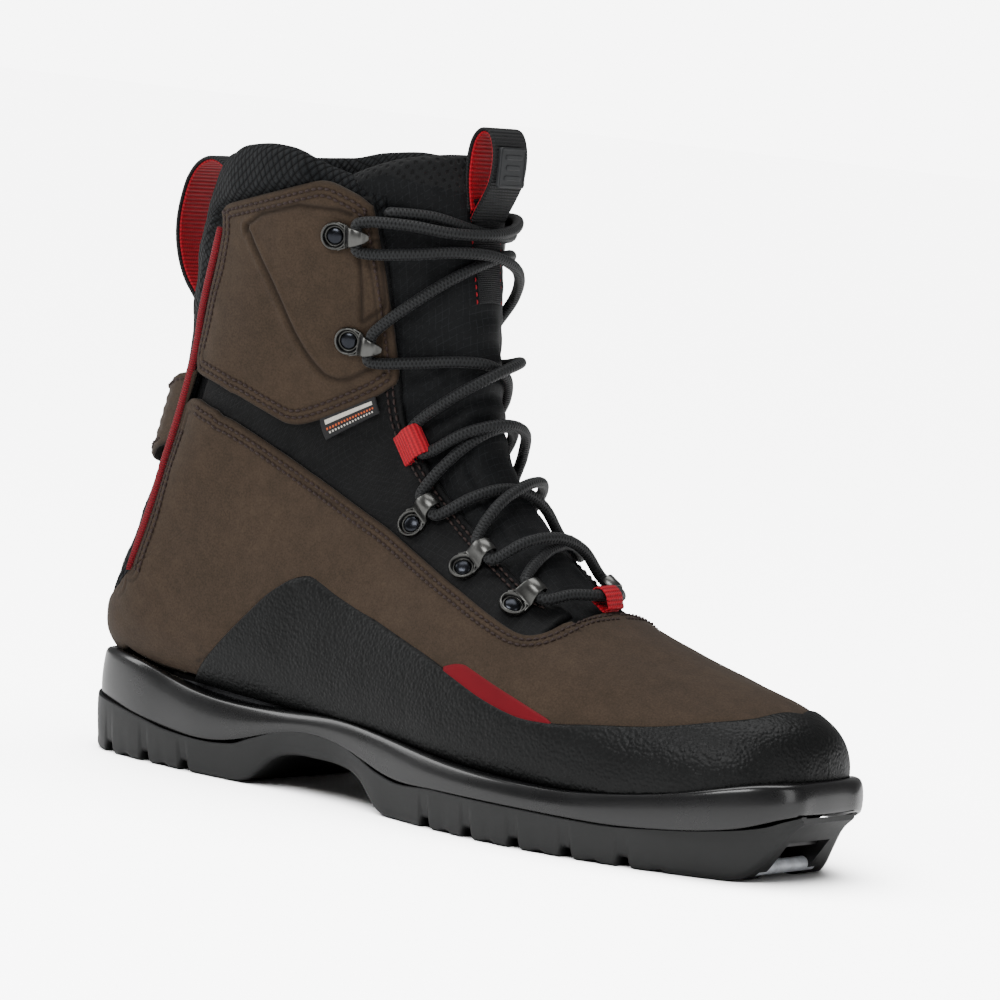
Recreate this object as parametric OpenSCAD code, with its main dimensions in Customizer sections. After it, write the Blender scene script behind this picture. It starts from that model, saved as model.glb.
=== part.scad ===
// Backcountry ski-touring boot, right foot. Millimetres, +Z up, toe along +X.
// Every upper layer is a patch of one foot-and-shaft surface S(u, th, offset):
// u runs from the toe tip (0) over the heel (16) to the collar (26),
// th runs round a section: 0 = sole or back line, +90 = outer side, 180 = instep or front line.

/* [Leather and fabric] */
// thickness of the outer leather
leather_t = 1.8; // [1.2:0.1:2.4]
// thickness of the black shell fabric
shell_t = 1.2; // [0.8:0.1:1.4]
// thickness of the padded lining
lining_t = 2.8; // [2:0.1:3.2]
// thickness of the rubber rand
rand_t = 1.8; // [1.2:0.1:2.4]
// clear gap kept between two layers
gap = 0.6; // [0.5:0.1:0.8]
// thickness of the tongue foam
tongue_foam_t = 3; // [2:0.2:3.2]
// thickness of the footbed
footbed_t = 3.5; // [2:0.5:4.5]

/* [Sole] */
// depth of the cross grooves in the tread
groove_d = 4; // [2:0.5:6]
// width of a cross groove in the tread
groove_w = 3; // [2:0.5:5]
// wall left round the outsole tray
tray_wall = 6; // [4:0.5:8]
// diameter of the steel toe bar
bar_d = 5; // [4:0.1:6]
// height of the toe bar's axis above the floor
bar_z = 4.5; // [4:0.1:8]
// distance of the toe bar's axis from the back of the heel
bar_x = 290; // [286:0.5:294]
// clear width of the toe slot
slot_w = 24; // [20:1:28]

/* [Lacing] */
// diameter of the lace
lace_d = 4; // [3:0.2:4.4]
// bore radius of the eyelet and hook channels
channel_r = 2.6; // [2.4:0.1:3]
// wall of the eyelet and hook channels
channel_t = 1.1; // [0.8:0.1:1.4]

/* [Pull tabs] */
// width of the heel pull tab
heel_tab_w = 22; // [16:1:26]
// width of the tongue pull tab
tongue_tab_w = 19; // [14:1:24]

/* [Hidden] */
DX = -151.2;
DY = -1;
NS = 27;
// Tx, Tz, Bx, Bz, half width, side shift, widest height, lower and upper roundness
SEC = [
 [302,41.5,302,34,1.5,.5,.5,2.2,2], [301,45.5,301,27,10,.5,.48,2.3,2], [299,49,299,23,16.5,.7,.46,2.5,2],
 [295,52.5,295,20,24,1,.44,2.8,2], [288,55.5,288,18,31,1.5,.42,3,2], [276,59,276,16.5,37.5,2.2,.4,3.2,2],
 [260,62.5,260,15.5,42.5,2.8,.38,3.4,2], [241,67,241,15,46,2.5,.38,3.5,2], [222,73,221,15,47.5,1.5,.38,3.5,2],
 [204,80.5,199,15.5,47,.3,.38,3.5,2], [190,90.5,173,17,44.5,-1,.38,3.5,2.05], [177.5,102,144,19.5,40.5,-1.6,.37,3.4,2.1],
 [167,112.5,113,22.5,37,-1.6,.36,3.3,2.1], [159.5,123,82,25,35.5,-1.2,.34,3.2,2.1], [155,132.5,51,26.5,36,-.8,.32,3.1,2.1],
 [152.5,141,22,28.5,36.5,-.4,.3,2.8,2.1], [151,148,3,35,36.8,-.2,.28,2.5,2.1], [150,155,-3,45,37,0,.28,2.3,2.1],
 [148.5,162,0,59,37.2,0,.3,2.2,2.1], [147,170,6,77,37.8,0,.33,2.15,2.1], [145.5,178,12,97,38.8,0,.37,2.1,2.1],
 [143.5,187,17.5,118,40,0,.41,2.1,2.1], [141.5,196.5,23,141,41.5,0,.44,2.1,2.1], [139.5,206,24.7,165,43,0,.46,2.1,2.1],
 [137.5,214.5,27,187,44,0,.47,2.1,2.1], [135.5,222,32,207,44.8,0,.48,2.1,2.1], [133.5,229,39,223,45,0,.48,2.1,2.1]];

function cr(a, b, c, d, t) = b + 0.5 * t * (c - a + t * (2 * a - 5 * b + 4 * c - d + t * (3 * (b - c) + d - a)));
function sec(u) = let(v = max(0, min(NS - 1, u)), i = max(0, min(NS - 2, floor(v))))
    cr(SEC[max(0, i - 1)], SEC[i], SEC[i + 1], SEC[min(NS - 1, i + 2)], v - i);
function S0(u, th) = let(p = sec(u), s = sin(th), c = cos(th), n = c > 0 ? p[7] : p[8], q = pow(abs(c), 2 / n),
    m = c > 0 ? p[6] * (1 - q) : p[6] + (1 - p[6]) * q)
    [p[2] + (p[0] - p[2]) * m, p[5] - p[4] * sign(s) * pow(abs(s), 2 / n), p[3] + (p[1] - p[3]) * m];
function unit(v) = v / max(norm(v), 1e-9);
function NO(u, th) = unit(cross(S0(u, th + 2) - S0(u, th - 2), S0(min(26, u + .01), th) - S0(max(0, u - .01), th)));
function S(u, th, o) = S0(u, th) + o * NO(u, th);
function at(t, x) = lookup(x, t);
function pick(a, x, y) = a ? x : y;

// border curves on the surface
function front(u) = at([[8.9,163],[9.3,161],[9.9,154],[10.9,151],[12,148],[13.3,145.3],[15.6,144.5],[17.1,143.7],[18.3,142.6],[19.7,139.5],[21,137],[22.4,134.3],[23.4,132],[24.2,129.5],[26,129.5]], u);
function pipe_th(u) = at([[17.3,66],[18.5,65],[19.3,62],[20,59],[21,57],[22.3,56.5],[22.9,59],[23.6,63],[24.2,65]], u);
function low_top(u) = at([[0,150],[8.6,147],[8.9,140],[9.2,135],[9.8,132],[10.2,130.8],[11.2,127],[12.3,124.3],[14,123.3],[15.6,121.8],[17,116.5],[17.6,114.2],[18.5,107],[19.3,99],[20,86],[20.6,73],[20.9,62]], u);
function rand_top(u) = at([[0,150],[2.5,165],[3.8,165],[4.3,150],[5.3,130],[6.2,118],[7.2,108.5],[8,101.5],[8.7,98],[9.3,98.3],[10.3,99.7],[13,101.6],[13.7,103.4],[13.95,102],[14.15,92],[14.2,60]], u);
function cuff_low(t) = at([[0,21.6],[.25,21],[.46,20.1],[.6,19.1],[.68,18.5],[.76,18.2],[.86,18.05],[.95,18.05],[1,18.4]], t);
function cuff_top(t) = at([[0,24.3],[.1,24.45],[.3,24.6],[.5,24.78],[.63,24.83],[.73,24.7],[.88,24.36],[.95,24.1],[1,23.5]], t);
function cuff_top_th(a) = at([[0,23.9],[56,24],[60,24.42],[66,24.5],[82,24.62],[97,24.78],[106,24.84],[112,24.72],[122,24.38],[127,24.12],[130,23.8]], abs(a));
function rim(a) = at([[0,25.75],[45,25.85],[62,25.95],[77,25.95],[88,25.85],[98,25.6],[107,25.3],[118,24.95],[127,24.55],[134,24.2],[145,24]], abs(a));

// ---- surface solids -------------------------------------------------------
function cells(n, m, wrap, mask) = [for (i = [0:n - 2]) [for (j = [0:(wrap ? m : m - 1) - 1]) is_undef(mask) ? true : mask(i, j)]];
// a slab between grid A (outside) and grid B (inside); clockwise faces seen from outside
module slab(A, B, wrap = false, cap = false, mask = undef, flip = false) {
    n = len(A); m = len(A[0]); mc = wrap ? m : m - 1; N = n * m;
    C = cells(n, m, wrap, mask);
    function on(i, j) = i < 0 || i > n - 2 ? false : wrap ? C[i][(j + mc) % mc] : j < 0 || j > mc - 1 ? false : C[i][j];
    function id(i, j) = i * m + (j % m);
    f = [for (i = [0:n - 2], j = [0:mc - 1]) if (C[i][j])
        let(a = id(i, j), b = id(i, j + 1), c = id(i + 1, j + 1), d = id(i + 1, j))
        each concat([[a, d, c], [a, c, b], [a + N, b + N, c + N], [a + N, c + N, d + N]],
            on(i, j - 1) ? [] : [[d, a, a + N], [d, a + N, d + N]],
            on(i, j + 1) ? [] : [[b, c, c + N], [b, c + N, b + N]],
            on(i - 1, j) || (cap && i == 0) ? [] : [[a, b, b + N], [a, b + N, a + N]],
            on(i + 1, j) ? [] : [[c, d, d + N], [c, d + N, c + N]])];
    e = cap ? [for (j = [0:mc - 1]) each [[id(0, j), id(0, j + 1), 2 * N], [id(0, j + 1) + N, id(0, j) + N, 2 * N + 1]]] : [];
    function mean(r) = [for (k = [0:2]) let(q = [for (p = r) p[k]]) (min(q) + max(q)) / 2];
    F = concat(f, e);
    polyhedron(concat([for (r = A) each r], [for (r = B) each r], cap ? [mean(A[0]), mean(B[0])] : []),
        flip ? [for (t = F) [t[0], t[2], t[1]]] : F, convexity = 8);
}
// f(i, j) gives [u, th] or [u, th, outer offset, inner offset]; sg = 1 outer side, -1 inner side
module patch(f, n, m, oa, ob, sg = 1, wrap = false, cap = false, mask = undef) {
    G = [for (i = [0:n - 1]) [for (j = [0:m - 1]) f(i, j)]];
    slab([for (r = G) [for (q = r) S(q[0], sg * q[1], is_undef(q[2]) ? oa : q[2])]],
        [for (r = G) [for (q = r) S(q[0], sg * q[1], is_undef(q[3]) ? ob : q[3])]], wrap, cap, mask, sg < 0);
}
function lerp(a, b, t) = a + (b - a) * t;
module place() { translate([DX, DY, 0]) children(); }

// round tube along a list of points
function tan_at(P, i) = unit(P[min(i + 1, len(P) - 1)] - P[max(i - 1, 0)]);
function frames(P, i, x) = i >= len(P) ? [] : let(t = tan_at(P, i), y = unit(x - (x * t) * t)) concat([y], frames(P, i + 1, y));
module cord(P, r, k = 8) {
    X = frames(P, 0, abs(tan_at(P, 0)[2]) > .8 ? [1, 0, 0] : [0, 0, 1]);
    pts = [for (i = [0:len(P) - 1]) let(t = tan_at(P, i), y = X[i], z = cross(t, y)) each [for (j = [0:k - 1]) P[i] + r * (y * cos(j * 360 / k) + z * sin(j * 360 / k))]];
    L = (len(P) - 1) * k;
    polyhedron(pts, concat([for (i = [0:len(P) - 2], j = [0:k - 1]) let(a = i * k + j, b = i * k + (j + 1) % k, c = b + k, d = a + k) each [[a, d, c], [a, c, b]]],
        [[for (j = [0:k - 1]) j]], [[for (j = [0:k - 1]) L + k - 1 - j]]), convexity = 8);
}
// a local frame on the surface: x = along u, y = along th, z = outwards
module on_skin(u, th, o, turn = 0) {
    p = S(u, th, o); z = NO(u, th); x0 = unit(S0(u + .05, th) - S0(u - .05, th)); y = unit(cross(z, x0)); x = cross(y, z);
    multmatrix([[x[0], y[0], z[0], p[0]], [x[1], y[1], z[1], p[1]], [x[2], y[2], z[2], p[2]], [0, 0, 0, 1]]) rotate([0, 0, turn]) children();
}

// ---- sole -----------------------------------------------------------------
function half_out(x) = at([[-4,9],[-2,15],[2,22],[10,29],[20,32.5],[35,35],[60,37],[90,37],[120,38],[150,43],[178,48.5],[205,51],[230,48.5],[255,42.5],[275,34.5],[288,27.5],[296,22],[303,18.5],[307,17]], x);
function half_in(x) = at([[-4,9],[-2,15],[2,22],[10,29],[20,32.5],[35,35],[60,36],[90,35],[120,35],[150,40],[178,47],[205,51],[230,51.5],[255,47],[275,38],[288,29.5],[296,23],[303,18.5],[307,17]], x);
XS = [-4,-2,2,10,20,35,60,90,120,150,178,205,230,255,275,288,296,303,307];
function plan(d) = concat([for (x = XS) [max(-4 + d, min(307 - d, x)), -max(3, half_out(x) - d)]], [for (k = [len(XS) - 1:-1:0]) let(x = XS[k]) [max(-4 + d, min(307 - d, x)), max(3, half_in(x) - d)]]);
SX = [-4,14,35,47,65,77,90,102,114,127,137,150,160,178,205,230,255,275,288,296,303,307];
function seam_z(x) = at([[-4,21],[14,19],[32,16],[47,13.5],[65,12.5],[77,13.5],[88,17.5],[102,22],[114,23],[127,22],[137,19],[148,15],[160,13],[178,14],[213,14],[243,13.5],[266,15],[276,16],[283,17],[290,18.2],[296,19.8],[302,22.5],[307,24.5]], x);
function lip_z(x) = at([[-8,36],[0,36],[8,37],[15,38.5],[23,38.5],[31,36],[44,32.5],[54,30.5],[67,28.5],[83,28],[105,29],[123,30],[136,29],[156,27],[177,24.5],[201,23],[228,22.5],[247,24],[269,27.5],[284,31.5],[296,34.5],[310,36]], x);
function tray_z(x) = at([[-4,16],[30,15],[60,12],[80,12],[95,14.5],[115,15],[130,14],[145,11],[170,9],[250,8.5],[270,9.5],[278,15.6],[290,16],[296,17.6],[300,20.5],[304,25]], x);
module prism_y(pts, w) { rotate([90, 0, 0]) translate([0, 0, -w / 2]) linear_extrude(w) polygon(pts); }
module outsole() color([.07,.07,.075]) place() {
    side = concat([[-4,3],[0,0],[78,0],[84,1.5],[90,6],[96,11],[104,13.5],[118,13.8],[130,13],[138,10],[144,4],[149,1],[156,0],[284,0],[290,1.5],[300,15],[307,22]],
        [for (k = [len(SX) - 1:-1:0]) [SX[k], seam_z(SX[k]) - (SX[k] > 84 && SX[k] < 135 ? 1.05 : .15)]], [[-4, 12]]);
    difference() {
        intersection() { linear_extrude(60) polygon(plan(0)); prism_y(concat([for (k = [0:len(side) - 2]) side[k]]), 140); }
        // tray that takes the midsole
        intersection() {
            translate([0, 0, 4]) linear_extrude(60) polygon(plan(tray_wall));
            prism_y(concat([for (x = [-4, 30, 60, 80, 95, 115, 130, 145, 170, 250, 270, 278, 290, 296, 300]) [x, tray_z(x)]], [[300, 60], [-4, 60]]), 140);
        }
        // room for the toe of the upper
        intersection() {
            translate([0, 0, 4]) linear_extrude(60) polygon(plan(1.8));
            prism_y([[262, 14], [272, 14.6], [282, 16.6], [290, 18], [296, 19.4], [300, 21.5], [306, 24], [306, 60], [262, 60]], 140);
        }
        // toe slot, open in front and below
        translate([279, -slot_w / 2, -1]) cube([40, slot_w, 15.4]);
        // bar holes, blind, in both slot walls
        translate([bar_x, 0, bar_z]) rotate([90, 0, 0]) cylinder(h = slot_w + 9, r = bar_d / 2 + .02, center = true, $fn = 48);
        // guide grooves for the binding ridge, under the forefoot
        for (s = [-1, 1]) translate([156, s * 11 - 3, -1]) cube([112, 6, 4.5]);
        // tread grooves across the sole
        for (x = [14, 34, 54, 172, 192, 212, 232, 252]) translate([x, -60, -1]) cube([groove_w, 38, groove_d + 1]);
        for (x = [14, 34, 54, 172, 192, 212, 232, 252]) translate([x, 22, -1]) cube([groove_w, 38, groove_d + 1]);
        for (x = [24, 44]) translate([x, -14, -1]) cube([groove_w, 28, groove_d]);
        translate([66, -9, -1]) cube([20, 18, groove_d]);
    }
}
module toe_insert() color([.1,.1,.11]) place() difference() {
    // saddle that lines the slot roof and back and lets the bar pass
    union() {
        translate([279.3, -slot_w / 2 + .3, 12]) cube([16, slot_w - .6, 2.2]);
        translate([279.3, -slot_w / 2 + .3, 1.2]) cube([2.4, slot_w - .6, 12]);
    }
    translate([278, -3, 0]) cube([6, 6, 9]);
}
module toe_bar() color([.72,.74,.76]) place() translate([bar_x, 0, bar_z]) rotate([90, 0, 0]) cylinder(h = slot_w + 8.6, r = bar_d / 2, center = true, $fn = 48);

// root finding on the surface for the sole frame
function at_z(u, o, f, lo = 2, hi = 118, k = 12) = k == 0 ? (lo + hi) / 2 : let(t = (lo + hi) / 2, p = S(u, t, o)) p[2] > f(p[0]) ? at_z(u, o, f, lo, t, k - 1) : at_z(u, o, f, t, hi, k - 1);
function at_u(th, o, f, lo = 14.8, hi = 17.4, k = 12) = k == 0 ? (lo + hi) / 2 : let(t = (lo + hi) / 2, p = S(t, th, o)) p[2] > f(p[0]) ? at_u(th, o, f, lo, t, k - 1) : at_u(th, o, f, t, hi, k - 1);
inner_z = function(x) at([[-8,30.5],[0,31],[22,31.5],[50,29.5],[82,27.5],[102,26.8],[114,26.5],[127,25.5],[144,22.5],[173,19.5],[200,18.3],[260,18.5],[276,20.5],[290,23.5],[300,27.5],[310,30]], x);
top_z = function(x) lip_z(x);
HS = [0, 12, 24, 36];
US = [15.3, 14.7, 14.1, 13.5, 12.9, 12.2, 11.5, 10.8, 10, 9.2, 8.4, 7.6, 6.8, 6, 5.2, 4.4, 3.7, 3, 2.3, 1.6, .9];
FO = 4.6;
function wall_th(k, s, f) = at_z(US[k - len(HS)], FO, f);
function wallpt(k, s, f) = k < len(HS) ? S(at_u(HS[k], FO, f), s * HS[k], FO) : S(US[k - len(HS)], s * wall_th(k, s, f), FO);
function wallmid(k, s, f, g) = k < len(HS) ? S((at_u(HS[k], FO, f) + at_u(HS[k], FO, g)) / 2, s * HS[k], FO) : S(US[k - len(HS)], s * (wall_th(k, s, f) + wall_th(k, s, g)) / 2, FO);
function outer_xy(p, s) = let(x = max(-4, min(307, p[0] + at([[-8,-3],[20,-1],[60,0],[270,0],[290,3],[302,6]], p[0]))), h = s > 0 ? half_out(x) : half_in(x)) [x, -s * h];
seam_gap = .3;
module sole_frame() {
    K = len(HS) + len(US) - 1;
    function ring(k, s) = let(t = wallpt(k, s, top_z), m = wallpt(k, s, inner_z), q = outer_xy(m, s),
            q2 = abs(m[1]) < 1 && m[0] < 0 ? [-6.4, 0] : k < 5 ? let(d = unit([m[0] - 30, m[1]])) [m[0], m[1]] + d * 3.2 : q,
            e = k < 5 ? q2 : k == K ? [307, -s * 13] : [q[0], -s * max(abs(q[1]), abs(m[1]) + 1.5)],
            g = unit([e[0] - t[0], e[1] - t[1]]), zb = seam_z(e[0]) + seam_gap, zm = (m[2] + t[2]) / 2)
        [[e[0], e[1], zb], [e[0], e[1], lerp(zb, t[2], .55)], [t[0] + g[0] * 2.4, t[1] + g[1] * 2.4, t[2] - .6], [t[0] + g[0] * 1.2, t[1] + g[1] * 1.2, t[2]], t, wallmid(k, s, top_z, inner_z), m, [m[0] - g[0] * .1, m[1] - g[1] * .1, min(m[2] - 1, max(zb, seam_z(m[0]) + seam_gap, m[2] - 12))]];
    R = concat([for (k = [0:K]) ring(k, 1)], 
        [[[307, -8, 25], [307, -8, 31], [306.4, -7, 35.4], [305.9, -6, 36], [305.3, -6, 36], [305.2, -6, 33], [305.2, -6, 29], [305.2, -6, 25]]],
        [[[307, 8, 25], [307, 8, 31], [306.4, 7, 35.4], [305.9, 6, 36], [305.3, 6, 36], [305.2, 6, 33], [305.2, 6, 29], [305.2, 6, 25]]],
        [for (k = [K:-1:1]) ring(k, -1)]);
    n = len(R); m = 8;
    color([.03,.03,.035]) place() polyhedron([for (r = R) each r], [for (i = [0:n - 1], j = [0:m - 1]) let(a = i * m + j, b = i * m + (j + 1) % m, c = ((i + 1) % n) * m + (j + 1) % m, d = ((i + 1) % n) * m + j) each [[a, b, c], [a, c, d]]], convexity = 10);
}
MU = [5.3, 6.5, 7.7, 9, 10.3, 11.6, 12.8, 13.8, 14.5, 15, 15.3];
module midsole_core() {
    A = [for (u = MU) [for (j = [0:8]) S(u, (j - 4) * 9.6, .8)]];
    color([.12,.12,.13]) place() slab([for (r = A) [for (p = r) [p[0], max(-half_out(p[0]) + tray_wall + .6, min(half_in(p[0]) - tray_wall - .6, p[1])), tray_z(p[0]) + 1]]], A);
}
module shank() color([.6,.62,.65]) place() patch(function(i, j) [lerp(9.4, 14.2, i / 10), (j - 1.5) * 5], 11, 4, -leather_t - .3, -leather_t - 1.7);
module insole_board() color([.72,.66,.54]) place() patch(function(i, j) [[2.2, 2.7, 3.4, 4.3, 5.3, 6.5, 7.7, 9, 10.3, 11.6, 12.8, 13.6, 14.2, 14.55][i], (j - 3) * 11.2], 14, 7, 0, -leather_t);

// ---- upper ----------------------------------------------------------------
LU = [0, .4, .8, 1.3, 1.9, 2.6, 3.3, 4.1, 5, 5.9, 6.8, 7.7, 8.6, 8.9, 9.2, 9.8, 10.5, 11.4, 12.2, 12.8, 13.5, 14.2, 14.9, 15.4, 15.9, 16.4, 16.9, 17.3, 17.9, 18.6, 19.3, 20, 20.6, 20.9];
module lower_leather() {
    // half section: 2 cells under the foot, 2 to the piping line, 7 to the top edge, 3 over the instep
    function th(i, h) = let(u = LU[i], a = u < 17.3 ? (u < 14.9 ? 52 : at([[14.9,52],[17.3,66]], u)) : pipe_th(u) + 2.6, b = low_top(u), m = u < 15 ? 36 : at([[15,36],[17.3,40]], u))
        h <= 2 ? m * h / 2 : h <= 4 ? lerp(m, a, (h - 2) / 2) : h <= 11 ? lerp(a, b, (h - 4) / 7) : lerp(b, 180, (h - 11) / 3);
    // columns 0..27 with 0 = back line, 14 = instep line
    color([.30,.24,.19]) place() patch(function(i, j) [LU[i], j <= 14 ? th(i, j) : -th(i, 28 - j)], len(LU), 28, 0, -leather_t, wrap = true, cap = true,
        mask = function(i, j) let(h = j < 14 ? j : 27 - j, u = LU[i]) h < 2 ? (u < 1.9 || (u > 14.8 && u < 17.2)) : h < 4 ? u < 17.2 : h < 11 ? true : u < 8.5);
}
module rubber_rand() {
    U = [0, .4, .8, 1.3, 1.9, 2.6, 3.3, 3.8, 4.3, 5, 5.9, 6.8, 7.7, 8.6, 9.2, 10.5, 11.4, 12.2, 12.8, 13.5, 13.85, 14.12];
    function th(i, h) = let(u = U[i], a = 44, b = rand_top(u)) h <= 2 ? a * h / 2 : h <= 9 ? lerp(a, b, (h - 2) / 7) : lerp(b, 180, (h - 9) / 2);
    color([.085,.087,.09]) place() patch(function(i, j) [U[i], j <= 11 ? th(i, j) : -th(i, 22 - j)], len(U), 22, gap + rand_t, gap + .3, wrap = true, cap = true,
        mask = function(i, j) let(h = j < 11 ? j : 21 - j) h < 2 ? U[i] < .7 : h < 9 ? true : U[i] < 3.7);
}
module accent(sg) { patch(function(i, j) [lerp(7.95, 10.3, i / 8), lerp(rand_top(lerp(7.95, 10.3, i / 8)) + 1.2, at([[7.95,103.5],[8.3,105.5],[8.9,107],[9.5,107.2],[9.95,106.3],[10.3,102.5]], lerp(7.95, 10.3, i / 8)), j / 2)], 9, 3, gap + .9, gap, sg); }
module accent_lateral() color([.75,.03,.11]) place() accent(1);
module accent_medial() color([.75,.03,.11]) place() accent(-1);
SU = [9.15, 9.8, 10.8, 12, 13.3, 14.6, 15.9, 17.3, 17.7, 18.1, 19.3, 20.5, 21.8, 23, 23.8, 24.15];
function shell_a(u) = u < 17.4 ? low_top(u) - 9 : at([[17.4,98],[18.1,68.5],[24.2,68.5]], u);
module shell(sg) { patch(function(i, j) let(u = SU[i]) [u, lerp(max(shell_a(u), 60), front(u) - .6, j / 10)], len(SU), 11, -leather_t - gap, -leather_t - gap - shell_t, sg); }
module shaft_shell_lateral() color([.11,.118,.125]) place() shell(1);
module shaft_shell_medial() color([.11,.118,.125]) place() shell(-1);
module heel_counter() color([.55,.52,.45]) place() patch(function(i, j) [lerp(14.4, 17.1, i / 6), (j - 6) * 13.5], 7, 13, -leather_t - gap - .5, -leather_t - gap - 1.35);
module toe_puff() color([.55,.52,.45]) place() patch(function(i, j) [lerp(.9, 4.6, i / 6), 60 + j * 20], 7, 13, -leather_t - gap, -leather_t - gap - 1);
function cuff_th(u, s) = lerp(pipe_th(u) + 2.6 - at([[23.7,0],[24.1,4],[24.3,7]], u), at([[18,141.6],[18.4,142.2],[19.7,139.5],[21,137],[22.4,134.3],[23.4,132],[24.2,130.5]], u), s);
module cuff(sg) { patch(function(i, j) let(s = [0, .1, .25, .42, .58, .7, .8, .9, .96, 1][j], u = lerp(cuff_low(s), cuff_top(s), i / 8)) [u, cuff_th(u, s)], 9, 10, 0, -leather_t, sg); }
module cuff_leather_lateral() color([.30,.24,.19]) place() cuff(1);
module cuff_leather_medial() color([.30,.24,.19]) place() cuff(-1);
module back_strip() color([.12,.125,.13]) place() patch(function(i, j) let(u = lerp(17.42, 23.8, i / 15)) [u, (j - 6) / 6 * (pipe_th(u) - 2.7)], 16, 13, -.3, -leather_t - gap - shell_t + .3);
module collar_mesh() color([.12,.125,.13]) place() patch(function(i, j) let(a = (j - 10) * 12.8) [lerp(cuff_top_th(a) + .06, rim(a), i / 4), a], 5, 21, -.1, -1.6);
module collar_foam() color([.9,.86,.7]) place() patch(function(i, j) let(a = (j - 10) * 12.8) [lerp(cuff_top_th(a) + .25, rim(a) - .1, i / 4), a], 5, 21, -2.1, -3.6);
module piping(sg) { cord([for (i = [0:26]) let(u = lerp(17.42, 23.6, i / 26)) S(u, sg * pipe_th(u), -.2)], 1.25, 8); }
module piping_lateral() color([.75,.03,.11]) place() piping(1);
module piping_medial() color([.75,.03,.11]) place() piping(-1);
module achilles_band() color([.30,.24,.19]) place() patch(function(i, j) let(a = (j - 6) * 9.6) [lerp(at([[0,20.3],[57,20.25]], abs(a)), at([[0,21.6],[57,21.55]], abs(a)), i / 3), a, at([[0,4.2],[40,3.6],[58,3.2]], abs(a)), at([[0,2.6],[40,2],[58,1.6]], abs(a))], 4, 13, 3, 1.5);
LV = [.5, 1.2, 2, 2.8, 3.8, 5, 6.4, 7.8, 8.8, 9.4, 10.4, 11.6, 12.8, 14, 14.8, 15.4, 15.9, 16.4, 17, 17.8, 19, 20.4, 21.8, 23.6, 26];
function to_rim(u, a) = u <= 20 ? u : 20 + (u - 20) * (rim(a) - 20) / 6;
module bootie_lining() {
    function th(i, h) = let(b = min(159, front(LV[i]) - 1.2)) h <= 9 ? b * h / 9 : lerp(b, 180, (h - 9) / 2);
    color([.13,.13,.14]) place() patch(function(i, j) let(a = j <= 11 ? th(i, j) : -th(i, 22 - j)) [to_rim(LV[i], a), a], len(LV), 22, -leather_t - 2 * gap - shell_t, -leather_t - 2 * gap - shell_t - lining_t, wrap = true, cap = true,
        mask = function(i, j) let(h = j < 11 ? j : 21 - j) h < 9 ? true : LV[i] < 8.75);
}
FU = [2.6, 3.4, 4.3, 5.3, 6.5, 7.7, 9, 10.3, 11.6, 12.8, 13.8, 14.5, 15, 15.4];
module footbed() color([.20,.21,.22]) place() patch(function(i, j) [FU[i], (j - 4) * 11], 14, 9, -7.8, -7.8 - footbed_t);

// ---- tongue ---------------------------------------------------------------
TU = [9.3, 10.2, 11.4, 12.8, 14.4, 16, 17.6, 19.2, 20.8, 21.9, 22.1, 22.9, 23.7, 23.9, 24.6, 25.3];
// the tongue is cut back where the lace ends tuck in beside it
function tuck(u) = at([[21.9,0],[22.1,6],[23.7,6],[23.9,0]], u);
function tongue_th(u, t) = lerp(front(u) + 1.4 + tuck(u), 360 - front(u) - 1.4 - tuck(u), t);
module tongue_shell() color([.11,.118,.125]) place() patch(function(i, j) let(u = TU[i]) [u, tongue_th(u, j / 8)], len(TU), 9, -2.8, -3.8);
module tongue_padding() color([.9,.86,.7]) place() patch(function(i, j) let(u = min(TU[i], 25.2)) [u, tongue_th(u, j / 8)], len(TU), 9, -4.2, -4.2 - tongue_foam_t);
module tongue_lining() color([.16,.16,.17]) place() patch(function(i, j) let(u = TU[i], w = at([[9,150],[12,134],[20,124],[23,112],[24,104],[25.3,104]], u)) [u, lerp(w, 360 - w, j / 9)], len(TU), 10, -8.1, -9.4);
module tongue_strap() color([.05,.05,.055]) place() patch(function(i, j) [lerp(20.2, 22.6, i / 5), 180 + (j - 1) * 9], 6, 3, -1.2, -2.4);
// ribbon of a given profile, extruded across the boot
function off(P, d) = [for (i = [0:len(P) - 1]) let(a = P[max(0, i - 1)], b = P[min(len(P) - 1, i + 1)], t = (b - a) / norm(b - a)) P[i] + d * [-t[1], t[0]]];
module ribbon(P, d0, d1, w) { prism_y(concat(off(P, d0), [for (k = [len(P) - 1:-1:0]) off(P, d1)[k]]), w); }
HT = [[31.4,209.4],[28,213.6],[22.5,215.6],[17,213.4],[13,208],[11,201],[10,193],[10.6,185],[12.8,177.5],[16,171.5],[19.6,167],[22.0,163.5],[23.1,160.2],[23.1,154.5]];
module heel_pull_tab() color([.05,.05,.055]) place() ribbon(HT, -1.2, 0, heel_tab_w);
module heel_tab_lining() color([.85,.10,.12]) place() ribbon(HT, .1, .8, heel_tab_w - 2);
TT = [[140.3,205.3],[141.9,209.0],[144.3,213.7],[146.6,219.2],[147.4,226],[146.6,232],[144.4,236],[141.4,236.4],[138.8,233.6],[137.5,228.6],[137.2,223],[137.6,217.5],[138.6,212],[139.5,208.4]];
module tongue_pull_tab() color([.05,.05,.055]) place() ribbon(TT, -1.2, 0, tongue_tab_w);
module tongue_tab_lining() color([.85,.10,.12]) place() ribbon(TT, .1, .8, tongue_tab_w - 2);
module tab_patch() color([.10,.10,.105]) place() difference() {
    translate([148.7, -7.5, 217.5]) cube([1.6, 15, 14]);
    for (k = [0:2]) translate([149.65, -5, 219.5 + 4 * k]) cube([2, 10, 2.2]);
}

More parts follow.
